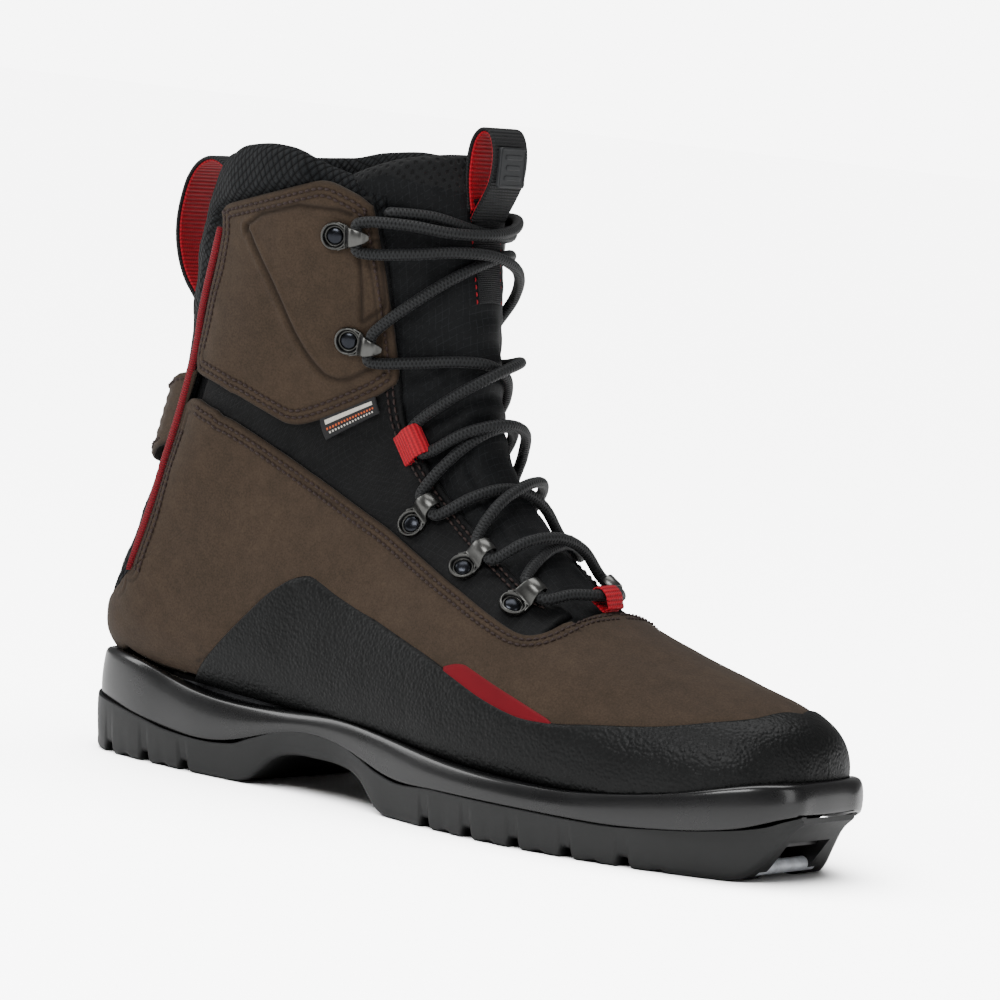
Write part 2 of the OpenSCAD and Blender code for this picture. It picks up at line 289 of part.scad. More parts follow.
// ---- lacing hardware ------------------------------------------------------
EY = [[12.95, 137.8], [11.1, 145], [9.75, 152.5]];
HK = [[19.75, 132.2], [22.95, 124.5]];
LP = [15.0, 145.2];
ro = channel_r + channel_t;
module channel(L, open = false) difference() {
    rotate([0, 90, 0]) cylinder(h = L, r = ro, center = true, $fn = 20);
    rotate([0, 90, 0]) cylinder(h = L + 2, r = channel_r, center = true, $fn = 20);
    if (open) translate([-L, -.2, .6]) cube([2 * L, ro * 2, channel_r * 1.35]);
}
// base plate, channel for the lace towards the throat (sd = which way th grows)
module eyelet_at(u, th, o, sd, open) on_skin(u, th, o) {
    translate([0, 0, ro]) scale([1, 1, 1]) mirror([0, sd > 0 ? 0 : 1, 0]) channel(6.4, open);
    difference() {
        union() {
            translate([0, sd * 8.6, .6]) cylinder(h = 1.2, r = 4.9, center = true, $fn = 20);
            translate([0, sd * 5.4, .6]) cube([6, 7.2, 1.2], center = true);
        }
        translate([0, sd * 8.6, 0]) cylinder(h = 8, r = 1.9, center = true, $fn = 20);
        translate([0, 0, ro]) rotate([0, 90, 0]) cylinder(h = 20, r = channel_r + .4, center = true, $fn = 20);
    }
}
module rivet_at(u, th, o, sd) on_skin(u, th, o) translate([0, sd * 8.6, 0]) {
    translate([0, 0, .8]) cylinder(h = 1.6, r = 1.8, center = true, $fn = 16);
    translate([0, 0, 1.3]) cylinder(h = 1.1, r1 = 3.1, r2 = 1.8, $fn = 16);
}
E0 = -leather_t - gap + .4;
module lower_eyelets_lateral() color([.33,.33,.33]) place() for (e = EY) eyelet_at(e[0], e[1], E0, 1, false);
module lower_eyelets_medial() color([.33,.33,.33]) place() for (e = EY) eyelet_at(e[0], -e[1], E0, -1, false);
module upper_hooks_lateral() color([.33,.33,.33]) place() for (e = HK) eyelet_at(e[0], e[1], .3, 1, true);
module upper_hooks_medial() color([.33,.33,.33]) place() for (e = HK) eyelet_at(e[0], -e[1], .3, -1, true);
module eyelet_rivets() color([.18,.18,.18]) place() for (e = EY, s = [-1, 1]) rivet_at(e[0], s * e[1], E0, s);
module hook_rivets() color([.18,.18,.18]) place() for (e = HK, s = [-1, 1]) rivet_at(e[0], s * e[1], .3, s);
module web_loop(s) on_skin(LP[0], s * LP[1], E0) {
    translate([0, 0, 3.6]) difference() {
        rotate([0, 90, 0]) cylinder(h = 7.4, r = 3.6, center = true, $fn = 20);
        rotate([0, 90, 0]) cylinder(h = 13, r = 2.7, center = true, $fn = 20);
    }
    difference() {
        translate([0, s * 6, .6]) cube([7.4, 9, 1.1], center = true);
        translate([0, 0, 3.6]) rotate([0, 90, 0]) cylinder(h = 13, r = 3, center = true, $fn = 20);
    }
}
module loop_lateral() color([.88,.10,.13]) place() web_loop(1);
module loop_medial() color([.88,.10,.13]) place() web_loop(-1);
module throat_loop() color([.88,.10,.13]) place() on_skin(8.95, 180, .3) translate([0, 0, 3.8]) difference() {
    rotate([90, 0, 0]) cylinder(h = 10, r = 3.6, center = true, $fn = 20);
    rotate([90, 0, 0]) cylinder(h = 12, r = 2.7, center = true, $fn = 20);
}
// lace: throat loop, eyelets in turn on both sides, crossing over the tongue; th runs on past 180 to the other side
OE = E0 + ro;
OH = .3 + ro;
function bore(u, th, o, d) = let(p = S(u, th, o), x = unit(S0(u + .05, th) - S0(u - .05, th))) [p - d * x, p + d * x];
// mm measured along u
function mu(u, mm) = mm / norm(S0(u + .2, 140) - S0(u - .2, 140)) * .4;
function hop(u1, t1, o1, u2, t2, o2, mid, n, dip = 0) = [for (k = [1:n]) let(t = k / (n + 1)) S(lerp(u1, u2, t) - dip * pow(sin(180 * t), 1.6), lerp(t1, t2, t), lerp(o1, o2, t) + (mid - (o1 + o2) / 2) * sin(180 * t))];
function leg(a, ao, b, bo, mid, n, s) = concat(bore(a[0], s * a[1], ao, 6), hop(a[0] + mu(a[0], 6), s * a[1], ao, b[0] - mu(b[0], 6.6), s * (360 - b[1]), bo, mid, n));
function half(s, mid) = let(e = EY, h = HK, l = LP, OL = E0 + 3.6, tk = front(23.3) + 3.6)
    concat([S(8.95, 180, 4.1) + [0, -s * 6, 0]], hop(8.98, s * 176, 4, e[2][0] - mu(e[2][0], 5.2), s * e[2][1], OE, 3.4, 1),
        leg(e[2], OE, e[1], OE, mid, 3, s), leg(e[1], OE, e[0], OE, mid, 4, -s), leg(e[0], OE, l, OL, mid, 4, s),
        leg(l, OL, h[0], OH, mid, 5, -s), leg(h[0], OH, h[1], OH, mid, 5, s),
        bore(h[1][0], -s * h[1][1], OH, 5.2), hop(h[1][0] + mu(h[1][0], 5.4), -s * h[1][1], OH, 23.6, -s * (360 - tk), 3, mid, 5, 1.15),
        [S(23.5, s * tk, 2.4), S(23.42, s * tk, -1.6), S(23.25, s * tk, -4.2), S(23.05, s * tk, -5.1), S(22.85, s * tk, -5.2)]);
LA = half(1, 1.9);
LB = half(-1, 6.3);
module lace() color([.06,.06,.065]) place() cord(concat([for (k = [len(LA) - 1:-1:0]) LA[k]], LB), lace_d / 2, 8);
module lace_aglets() color([.75,.75,.75]) place() for (s = [-1, 1]) cord([for (u = [22.845, 22.6, 22.35]) S(u, s * (front(23.3) + 3.6), -5.2)], lace_d / 2 - .3, 8);
module side_label() color([.08,.08,.085]) place() patch(function(i, j) [lerp(17.3, 18.0, i / 3), lerp(120.5, 134, j / 4)], 4, 5, -leather_t - gap + 1, -leather_t - gap + .4);

/* [Node] */
// which node to draw
/* [Hidden] */
outsole();
toe_insert();
toe_bar();
sole_frame();
midsole_core();
shank();
insole_board();
lower_leather();
rubber_rand();
accent_lateral();
accent_medial();
shaft_shell_lateral();
shaft_shell_medial();
heel_counter();
toe_puff();
cuff_leather_lateral();
cuff_leather_medial();
back_strip();
collar_mesh();
collar_foam();
piping_lateral();
piping_medial();
achilles_band();
bootie_lining();
footbed();
tongue_shell();
tongue_padding();
tongue_lining();
tongue_strap();
heel_pull_tab();
heel_tab_lining();
tongue_pull_tab();
tongue_tab_lining();
tab_patch();
lower_eyelets_lateral();
lower_eyelets_medial();
upper_hooks_lateral();
upper_hooks_medial();
eyelet_rivets();
hook_rivets();
loop_lateral();
loop_medial();
throat_loop();
lace();
lace_aglets();
side_label();
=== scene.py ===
import math
import bpy
import numpy as np
from mathutils import Matrix, Vector
from mathutils.kdtree import KDTree


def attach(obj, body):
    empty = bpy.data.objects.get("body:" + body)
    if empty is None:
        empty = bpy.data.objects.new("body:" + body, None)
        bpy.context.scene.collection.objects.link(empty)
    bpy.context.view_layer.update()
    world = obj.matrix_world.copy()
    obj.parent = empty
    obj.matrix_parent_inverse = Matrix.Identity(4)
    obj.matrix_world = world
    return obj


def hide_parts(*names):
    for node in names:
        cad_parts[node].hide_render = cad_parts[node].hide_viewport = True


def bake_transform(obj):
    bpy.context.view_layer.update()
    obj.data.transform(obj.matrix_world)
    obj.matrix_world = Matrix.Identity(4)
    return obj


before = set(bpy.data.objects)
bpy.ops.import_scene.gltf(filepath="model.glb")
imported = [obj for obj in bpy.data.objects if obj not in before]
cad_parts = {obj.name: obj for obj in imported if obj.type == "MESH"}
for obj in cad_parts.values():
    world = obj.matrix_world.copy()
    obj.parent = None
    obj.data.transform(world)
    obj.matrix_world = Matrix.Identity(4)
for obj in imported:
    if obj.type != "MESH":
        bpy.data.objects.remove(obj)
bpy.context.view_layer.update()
DX, DY = -151.2, -1.0
A = np.array


def M(P):
    return (np.asarray(P, float) + A([DX, DY, 0.0])) / 1000.0


# ------------------------------------------------------------------ surface
SEC = A([
 [302,41.5,302,34,1.5,.5,.5,2.2,2],[301,45.5,301,27,10,.5,.48,2.3,2],[299,49,299,23,16.5,.7,.46,2.5,2],
 [295,52.5,295,20,24,1,.44,2.8,2],[288,55.5,288,18,31,1.5,.42,3,2],[276,59,276,16.5,37.5,2.2,.4,3.2,2],
 [260,62.5,260,15.5,42.5,2.8,.38,3.4,2],[241,67,241,15,46,2.5,.38,3.5,2],[222,73,221,15,47.5,1.5,.38,3.5,2],
 [204,80.5,199,15.5,47,.3,.38,3.5,2],[190,90.5,173,17,44.5,-1,.38,3.5,2.05],[177.5,102,144,19.5,40.5,-1.6,.37,3.4,2.1],
 [167,112.5,113,22.5,37,-1.6,.36,3.3,2.1],[159.5,123,82,25,35.5,-1.2,.34,3.2,2.1],[155,132.5,51,26.5,36,-.8,.32,3.1,2.1],
 [152.5,141,22,28.5,36.5,-.4,.3,2.8,2.1],[151,148,3,35,36.8,-.2,.28,2.5,2.1],[150,155,-3,45,37,0,.28,2.3,2.1],
 [148.5,162,0,59,37.2,0,.3,2.2,2.1],[147,170,6,77,37.8,0,.33,2.15,2.1],[145.5,178,12,97,38.8,0,.37,2.1,2.1],
 [143.5,187,17.5,118,40,0,.41,2.1,2.1],[141.5,196.5,23,141,41.5,0,.44,2.1,2.1],[139.5,206,24.7,165,43,0,.46,2.1,2.1],
 [137.5,214.5,27,187,44,0,.47,2.1,2.1],[135.5,222,32,207,44.8,0,.48,2.1,2.1],[133.5,229,39,223,45,0,.48,2.1,2.1]])
NS = len(SEC)


def params(u):
    u = np.clip(np.asarray(u, float), 0, NS - 1)
    i = np.clip(np.floor(u).astype(int), 0, NS - 2)
    f = (u - i)[..., None]
    p0, p1, p2, p3 = SEC[np.clip(i - 1, 0, NS - 1)], SEC[i], SEC[i + 1], SEC[np.clip(i + 2, 0, NS - 1)]
    return p1 + .5 * f * (p2 - p0 + f * (2 * p0 - 5 * p1 + 4 * p2 - p3 + f * (3 * (p1 - p2) + p3 - p0)))


def S0(u, th):
    u, th = np.broadcast_arrays(np.asarray(u, float), np.asarray(th, float))
    p = params(u)
    t = np.radians(th)
    Tx, Tz, Bx, Bz, W, yc, c, nb, nt = [p[..., k] for k in range(9)]
    s, co = np.sin(t), np.cos(t)
    n = np.where(co > 0, nb, nt)
    q = np.abs(co) ** (2 / n)
    y = yc - W * np.sign(s) * np.abs(s) ** (2 / n)
    m = np.where(co > 0, c * (1 - q), c + (1 - c) * q)
    return np.stack([Bx + (Tx - Bx) * m, y, Bz + (Tz - Bz) * m], -1)


def unit(v):
    return v / np.maximum(np.linalg.norm(v, axis=-1, keepdims=True), 1e-9)


def NO(u, th):
    u = np.asarray(u, float)
    a = S0(u, np.asarray(th) + 2) - S0(u, np.asarray(th) - 2)
    b = S0(np.minimum(26, u + .03), th) - S0(np.maximum(0, u - .03), th)
    return unit(np.cross(a, b))


def S(u, th, o=0.0):
    u, th, o = np.broadcast_arrays(np.asarray(u, float), np.asarray(th, float), np.asarray(o, float))
    return S0(u, th) + NO(u, th) * o[..., None]


def cur(tab):
    """Smooth curve through a table (monotone cubic)."""
    X = A([p[0] for p in tab], float)
    Y = A([p[1] for p in tab], float)
    h = np.diff(X)
    d = np.diff(Y) / h
    m = np.zeros(len(X))
    for i in range(1, len(X) - 1):
        if d[i - 1] * d[i] > 0:
            w1, w2 = 2 * h[i] + h[i - 1], h[i] + 2 * h[i - 1]
            m[i] = (w1 + w2) / (w1 / d[i - 1] + w2 / d[i])
    m[0], m[-1] = d[0], d[-1]

    def f(x):
        x = np.clip(np.asarray(x, float), X[0], X[-1])
        i = np.clip(np.searchsorted(X, x, side="right") - 1, 0, len(X) - 2)
        t = (x - X[i]) / h[i]
        return ((2 * t**3 - 3 * t**2 + 1) * Y[i] + (t**3 - 2 * t**2 + t) * h[i] * m[i]
                + (-2 * t**3 + 3 * t**2) * Y[i + 1] + (t**3 - t**2) * h[i] * m[i + 1])
    return f


front = cur([[8.9,163],[9.3,161],[9.9,154.5],[10.9,151],[12,148],[13.3,145.5],[15.6,144.4],[17.1,143.3],[18.3,142.2],[19.7,139.5],[21,137],[22.4,134.3],[23.4,132],[24.2,130],[26,129.5]])
pipe_th = cur([[17.2,70],[18.5,65.9],[19.3,61.9],[20,58],[21,57],[22.3,55.8],[22.9,59],[23.6,63],[24.2,65]])
_low = A([[20.95,62],[20.861,67.3],[20.508,78.2],[20.16,87.5],[19.803,93.3],[19.423,98.2],[19.016,102.8],[18.584,107.1],[18.116,111.1],[17.584,114.8],[17.008,118.0],[16.433,120.3],[15.887,121.9],[15.381,122.6],[14.911,123.0],[14.067,123.4],[13.301,123.9],[12.578,124.2],[11.894,124.9],[11.24,125.9],[10.623,127.6],[10.036,129.6],[9.746,130.6],[9.46,131.9],[9.195,134.4],[8.998,139],[8.881,144.6],[8.834,150],[8.796,156],[0,158]])
low_top = cur(_low[::-1].tolist())
rand_top = cur([[0,184],[3.4,184],[3.83,176],[4.3,150],[5.3,130],[6.2,118],[7.2,108.2],[8,101],[8.7,98.1],[9.3,98.3],[10.3,99.7],[11.7,100.3],[13,101.6],[13.7,103.4],[13.95,101.5],[14.15,92],[14.2,60]])
cuff_low = cur([[0,21.6],[.25,21],[.46,20.1],[.6,19.1],[.68,18.5],[.76,18.2],[.86,18.05],[.95,18.0],[1,18.25]])
cuff_top = cur([[0,24.3],[.1,24.45],[.3,24.6],[.5,24.78],[.63,24.83],[.73,24.7],[.88,24.36],[.95,24.05],[1,23.5]])
cuff_front = cur([[18,142.4],[18.4,142.4],[19.7,139.5],[21,137],[22.4,134.3],[23.4,132.2],[24.2,130]])
cuff_back = cur([[20.9,58.8],[21.7,56.8],[22.3,57.6],[22.9,61],[23.5,65],[23.8,66],[24.0,62.5],[24.2,59.5],[24.4,58]])
_rim = cur([[0,25.7],[30,25.72],[47,25.72],[62,25.9],[77,25.95],[88,25.85],[98,25.6],[107,25.25],[118,24.9],[127,24.5],[136,24.2]])
_ctt = cur([[0,23.9],[56,24],[60,24.42],[66,24.5],[82,24.62],[97,24.78],[106,24.84],[112,24.72],[122,24.38],[130,23.9]])


_LTU = np.linspace(8.6, 20.9, 200)
_LTV = low_top(_LTU)


def rim(a):
    return _rim(np.abs(a))


# arc lengths on the surface, for weave and stitch scale
_LU = np.linspace(0, 26, 521)
_LP = np.concatenate([[0], np.cumsum(np.linalg.norm(np.diff((S0(_LU, 100.) + S0(_LU, 140.)) / 2, axis=0), axis=1))])
_TU, _TT = np.linspace(0, 26, 131), np.linspace(0, 180, 181)
_g = S0(_TU[:, None], _TT[None, :])
_TL = np.concatenate([np.zeros((131, 1)), np.cumsum(np.linalg.norm(np.diff(_g, axis=1), axis=2), axis=1)], 1)
_TL = _TL - _TL[:, 100:101]


def skin_xy(u, th):
    x = np.interp(u, _LU, _LP)
    a = np.abs(((np.asarray(th) + 180) % 360) - 180)
    fu = np.clip(u / 26 * 130, 0, 129.999)
    i = fu.astype(int)
    f = fu - i
    ft = np.clip(a, 0, 179.999)
    j = ft.astype(int)
    g = ft - j
    y = (_TL[i, j] * (1 - f) * (1 - g) + _TL[i + 1, j] * f * (1 - g) + _TL[i, j + 1] * (1 - f) * g + _TL[i + 1, j + 1] * f * g)
    return x, y * np.where(((np.asarray(th) + 180) % 360) - 180 < 0, -1, 1)


_rng = np.random.RandomState(7)
_K = unit(_rng.randn(24, 3))
_PH = _rng.rand(24) * 6.283


def lumps(P, wavelength, seed=0):
    """Smooth deterministic noise about -1..1, features about wavelength mm across."""
    v = 0
    for k in range(10):
        i = (k + seed * 5) % 24
        v = v + np.sin((P @ _K[i]) * 6.283 / wavelength * (1 + .13 * k) + _PH[i])
    return v / 4.0


# ------------------------------------------------------------------ meshes
def new_obj(name, verts, faces, mat, attrs=None, smooth=True):
    me = bpy.data.meshes.new(name)
    me.from_pydata(M(verts).tolist(), [], [tuple(int(k) for k in f) for f in faces])
    me.validate(clean_customdata=False)
    for key, val in (attrs or {}).items():
        val = np.asarray(val, np.float32)
        if val.ndim == 1:
            me.attributes.new(key, "FLOAT", "POINT").data.foreach_set("value", val)
        else:
            me.attributes.new(key, "FLOAT_VECTOR", "POINT").data.foreach_set("vector", val.ravel())
    me.polygons.foreach_set("use_smooth", np.full(len(me.polygons), smooth))
    mats = mat if isinstance(mat, (list, tuple)) else [mat]
    for m in mats:
        me.materials.append(m)
    ob = bpy.data.objects.new(name, me)
    bpy.context.scene.collection.objects.link(ob)
    return ob


def boundary(F):
    """Directed boundary edges of a quad list."""
    E = np.concatenate([F[:, [0, 1]], F[:, [1, 2]], F[:, [2, 3]], F[:, [3, 0]]])
    key = np.sort(E, 1)
    code = key[:, 0].astype(np.int64) * (E.max() + 1) + key[:, 1]
    _, inv, cnt = np.unique(code, return_inverse=True, return_counts=True)
    return E[cnt[inv] == 1]


def edge_distance(P, idx, cap=14.0):
    kd = KDTree(len(idx))
    for n, i in enumerate(idx):
        kd.insert(P[i], n)
    kd.balance()
    return np.minimum(A([kd.find(p)[2] for p in P]), cap)


def sheet(name, U, TH, mask, off, thick, mat, edge=.8, disp=None, closed=False, lip=None, extra=None, matid=None, keep_edge=None):
    """A thick sheet on the boot surface. U, TH: (n, m) grids; mask: (n-1, m-1 or m) cells kept; off: height of the outer face.
    disp(P, d, U, TH) gives extra height, with d the distance to the sheet's border in mm."""
    n, m = U.shape
    mc = m if closed else m - 1
    ii, jj = np.meshgrid(np.arange(n - 1), np.arange(mc), indexing="ij")
    if mask is None:
        mask = np.ones((n - 1, mc), bool)
    ii, jj = ii[mask], jj[mask]
    j2 = (jj + 1) % m
    F = np.stack([ii * m + jj, (ii + 1) * m + jj, (ii + 1) * m + j2, ii * m + j2], 1)
    used, F = np.unique(F, return_inverse=True)
    F = F.reshape(-1, 4)
    u, th = U.ravel()[used], TH.ravel()[used]
    o = np.broadcast_to(np.asarray(off, float), U.shape).ravel()[used].copy()
    N = NO(u, th)
    P = S0(u, th) + N * o[:, None]
    a, b, c, d = P[F[:, 0]], P[F[:, 1]], P[F[:, 2]], P[F[:, 3]]
    if (np.einsum("ij,ij->i", np.cross(c - a, d - b), N[F[:, 0]])).sum() < 0:
        F = F[:, ::-1]
    B = boundary(F)
    bi = np.unique(B)
    dist = edge_distance(P, bi)
    e = min(edge, thick - .15)
    drop = np.where(dist < e, e - np.sqrt(np.maximum(e * e - (e - dist) ** 2, 0)), 0)
    if keep_edge is not None:
        drop = drop * keep_edge(u, th)
    add = disp(P, dist, u, th) if disp is not None else np.zeros(len(P))
    O = P + N * (add - drop)[:, None]
    I = P + N * (np.minimum(add, 0) * .6 - thick)[:, None]
    k = len(P)
    faces = [F, F[:, ::-1] + k, np.stack([B[:, 1], B[:, 0], B[:, 0] + k, B[:, 1] + k], 1)]
    V = np.concatenate([O, I])
    x, y = skin_xy(u, th)
    sk = np.stack([x, y, np.zeros_like(x)], 1)
    at = {"skin": np.concatenate([sk, sk]), "rimd": np.concatenate([dist, dist]), "ut": np.concatenate([np.stack([u, th, o], 1)] * 2)}
    ob = new_obj(name, V, np.concatenate(faces), mat, at)
    if matid is not None:
        w = matid(u, th)
        w2 = np.concatenate([w, w])
        allf = np.concatenate(faces)
        ob.data.polygons.foreach_set("material_index", (w2[allf].mean(1) > .5).astype(np.int32))
        ob.data.update()
    ob["outer"] = k
    return ob, dict(P=O, N=N, u=u, th=th, d=dist)


def tube(path, r, k=12, closed=False, close_ends=True, name=None, mat=None, prof=None):
    """Round cord along a smooth path (mm). prof(s) scales the radius, s in mm along the cord."""
    P = np.asarray(path, float)
    T = unit(np.gradient(P, axis=0))
    s = np.concatenate([[0], np.cumsum(np.linalg.norm(np.diff(P, axis=0), axis=1))])
    x = A([0, 0, 1.0]) if abs(T[0][2]) < .8 else A([1.0, 0, 0])
    X = []
    for t in T:
        x = unit(x - (x @ t) * t)
        X.append(x)
    X = A(X)
    Y = np.cross(T, X)
    a = np.arange(k) * 2 * math.pi / k
    rr = np.broadcast_to(np.asarray(r if prof is None else r * prof(s), float), s.shape)
    V = P[:, None] + rr[:, None, None] * (X[:, None] * np.cos(a)[None, :, None] + Y[:, None] * np.sin(a)[None, :, None])
    n = len(P)
    V = V.reshape(-1, 3)
    i, j = np.meshgrid(np.arange(n - 1), np.arange(k), indexing="ij")
    i, j = i.ravel(), j.ravel()
    F = [tuple(f) for f in np.stack([i * k + j, i * k + (j + 1) % k, (i + 1) * k + (j + 1) % k, (i + 1) * k + j], 1)]
    cs = np.stack([np.repeat(s, k), np.tile(a, n), np.zeros(n * k)], 1)
    if close_ends:
        V = np.concatenate([V, [P[0] - T[0] * rr[0] * .4, P[-1] + T[-1] * rr[-1] * .4]])
        cs = np.concatenate([cs, [[0, 0, 0], [s[-1], 0, 0]]])
        F += [((j + 1) % k, j, n * k) for j in range(k)] + [((n - 1) * k + j, (n - 1) * k + (j + 1) % k, n * k + 1) for j in range(k)]
    ob = new_obj(name, V, F, mat, {"cord": cs})
    return ob


def smooth_path(P, step=.8, rounds=0):
    P = np.asarray(P, float)
    for _ in range(rounds):
        Q = P.copy()
        Q[1:-1] = .25 * P[:-2] + .5 * P[1:-1] + .25 * P[2:]
        P = Q
    out = []
    n = len(P)
    for i in range(n - 1):
        a, b, c, d = P[max(0, i - 1)], P[i], P[i + 1], P[min(n - 1, i + 2)]
        # centripetal-like: limit tangents by the span's own length
        L = np.linalg.norm(c - b)
        ta, tb = (c - a) / max(np.linalg.norm(c - b) + np.linalg.norm(b - a), 1e-6) * L, (d - b) / max(np.linalg.norm(d - c) + L, 1e-6) * L
        k = max(2, int(L / step))
        for q in range(k):
            t = q / k
            out.append((2 * t**3 - 3 * t**2 + 1) * b + (t**3 - 2 * t**2 + t) * ta + (-2 * t**3 + 3 * t**2) * c + (t**3 - t**2) * tb)
    out.append(P[-1])
    return A(out)


# ------------------------------------------------------------------ materials
def srgb(r, g, b):
    return tuple(((c / 255 + .055) / 1.055) ** 2.4 if c > 10 else c / 255 / 12.92 for c in (r, g, b)) + (1.0,)


class Mat:
    def __init__(self, name, color, rough=.6, metal=0.0, spec=.5, coat=0.0, coat_rough=.1, sheen=0.0):
        self.m = bpy.data.materials.new(name)
        self.m.use_nodes = True
        self.t = self.m.node_tree
        self.b = self.t.nodes["Principled BSDF"]
        self.color(color)
        self.b.inputs["Roughness"].default_value = rough
        self.b.inputs["Metallic"].default_value = metal
        self.b.inputs["Specular IOR Level"].default_value = spec
        self.b.inputs["Coat Weight"].default_value = coat
        self.b.inputs["Coat Roughness"].default_value = coat_rough
        self.b.inputs["Sheen Weight"].default_value = sheen
        self.b.inputs["Sheen Roughness"].default_value = .5
        self.m.diffuse_color = tuple(color[:3]) + (1,)
        self.last_normal = None

    def color(self, c):
        self.b.inputs["Base Color"].default_value = tuple(c[:3]) + (1,)

    def n(self, kind, **kw):
        x = self.t.nodes.new(kind)
        for k, v in kw.items():
            if k.startswith("_"):
                x.inputs[int(k[1:])].default_value = v
            elif k in x.inputs:
                x.inputs[k].default_value = v
            else:
                setattr(x, k, v)
        return x

    def l(self, a, b):
        self.t.links.new(a, b)
        return a

    def obj_coords(self):
        return self.n("ShaderNodeTexCoord").outputs["Object"]

    def attr(self, name):
        a = self.n("ShaderNodeAttribute", attribute_name=name)
        return a.outputs["Vector"]

    def attr_f(self, name):
        return self.n("ShaderNodeAttribute", attribute_name=name).outputs["Fac"]

    def math(self, op, a, b=None, c=None, clamp=False):
        x = self.n("ShaderNodeMath", operation=op, use_clamp=clamp)
        for k, v in enumerate((a, b, c)):
            if v is None:
                continue
            if isinstance(v, (int, float)):
                x.inputs[k].default_value = v
            else:
                self.l(v, x.inputs[k])
        return x.outputs[0]

    def sep(self, v):
        x = self.n("ShaderNodeSeparateXYZ")
        self.l(v, x.inputs[0])
        return x.outputs[0], x.outputs[1], x.outputs[2]

    def noise(self, scale, detail=3.0, rough=.5, vec=None, dims="3D"):
        x = self.n("ShaderNodeTexNoise", noise_dimensions=dims)
        x.inputs["Scale"].default_value = scale
        x.inputs["Detail"].default_value = detail
        x.inputs["Roughness"].default_value = rough
        self.l(vec if vec is not None else self.obj_coords(), x.inputs["Vector"])
        return x.outputs["Fac"]

    def voronoi(self, scale, feature="F1", vec=None, out="Distance", rand=1.0):
        x = self.n("ShaderNodeTexVoronoi", feature=feature)
        x.inputs["Scale"].default_value = scale
        x.inputs["Randomness"].default_value = rand
        self.l(vec if vec is not None else self.obj_coords(), x.inputs["Vector"])
        return x.outputs[out]

    def ramp(self, fac, stops):
        x = self.n("ShaderNodeValToRGB")
        r = x.color_ramp
        while len(r.elements) < len(stops):
            r.elements.new(.5)
        for e, (p, c) in zip(r.elements, stops):
            e.position = p
            e.color = tuple(c[:3]) + (1,) if isinstance(c, (tuple, list)) else (c, c, c, 1)
        self.l(fac, x.inputs[0])
        return x.outputs[0]

    def mix(self, fac, a, b):
        x = self.n("ShaderNodeMix", data_type="RGBA")
        for s, v in ((x.inputs[0], fac), (x.inputs[6], a), (x.inputs[7], b)):
            if isinstance(v, (int, float)):
                s.default_value = v
            elif isinstance(v, (tuple, list)):
                s.default_value = tuple(v[:3]) + (1,)
            else:
                self.l(v, s)
        return x.outputs[2]

    def bump(self, height, dist, strength=1.0):
        """dist: height of the relief in metres."""
        x = self.n("ShaderNodeBump")
        x.inputs["Strength"].default_value = strength
        x.inputs["Distance"].default_value = dist
        self.l(height, x.inputs["Height"])
        if self.last_normal is not None:
            self.l(self.last_normal, x.inputs["Normal"])
        self.last_normal = x.outputs[0]
        self.l(x.outputs[0], self.b.inputs["Normal"])
        self.l(x.outputs[0], self.b.inputs["Coat Normal"])

    def base(self, s):
        self.l(s, self.b.inputs["Base Color"])

    def rough(self, fac, lo, hi):
        x = self.n("ShaderNodeMapRange")
        x.inputs[3].default_value, x.inputs[4].default_value = lo, hi
        self.l(fac, x.inputs[0])
        self.l(x.outputs[0], self.b.inputs["Roughness"])


def nubuck(name="nubuck", c=(61, 49, 38)):
    m = Mat(name, srgb(*c), .85, spec=.2, sheen=.04)
    big = m.noise(28, 4, .55)
    mid = m.noise(160, 5, .6)
    fine = m.noise(2200, 2, .7)
    k = tuple(srgb(*c)[:3])
    col = m.ramp(big, [(.3, tuple(v * .9 for v in k)), (.7, tuple(v * 1.1 for v in k))])
    col2 = m.ramp(mid, [(.3, (.38, .38, .38)), (.72, (.62, .62, .62))])
    x = m.n("ShaderNodeMix", data_type="RGBA", blend_type="OVERLAY")
    x.inputs[0].default_value = .6
    m.l(col, x.inputs[6])
    m.l(col2, x.inputs[7])
    # rubbed darker along the cut edges
    d = m.math("DIVIDE", m.attr_f("rimd"), 1.6, clamp=True)
    col = m.mix(d, tuple(v * .62 for v in k), x.outputs[2])
    # fine grain in the colour, and the darker pressed lines
    g = m.ramp(m.noise(1500, 2, .6), [(.3, (.8, .8, .8)), (.7, (1.2, 1.2, 1.2))])
    y = m.n("ShaderNodeMix", data_type="RGBA", blend_type="MULTIPLY")
    y.inputs[0].default_value = 1.0
    m.l(col, y.inputs[6])
    m.l(g, y.inputs[7])
    col = m.mix(m.attr_f("emb"), y.outputs[2], tuple(v * .3 for v in k))
    m.base(col)
    m.rough(fine, .7, .92)
    m.bump(fine, .00009, .6)
    m.bump(m.noise(700, 3, .6), .00012, .6)
    m.bump(mid, .00025, .35)
    return m.m


def rubber_pebble():
    m = Mat("rand_rubber", srgb(12, 13, 13), .5, spec=.22)
    v = m.voronoi(900, "SMOOTH_F1")
    n = m.noise(420, 3, .6)
    h = m.math("ADD", m.math("MULTIPLY", v, -1.0), m.math("MULTIPLY", n, .22))
    m.bump(h, .00042, .75)
    m.base(m.ramp(m.noise(60, 4), [(.3, srgb(10, 11, 11)), (.75, srgb(16, 17, 17))]))
    m.rough(n, .36, .56)
    return m.m


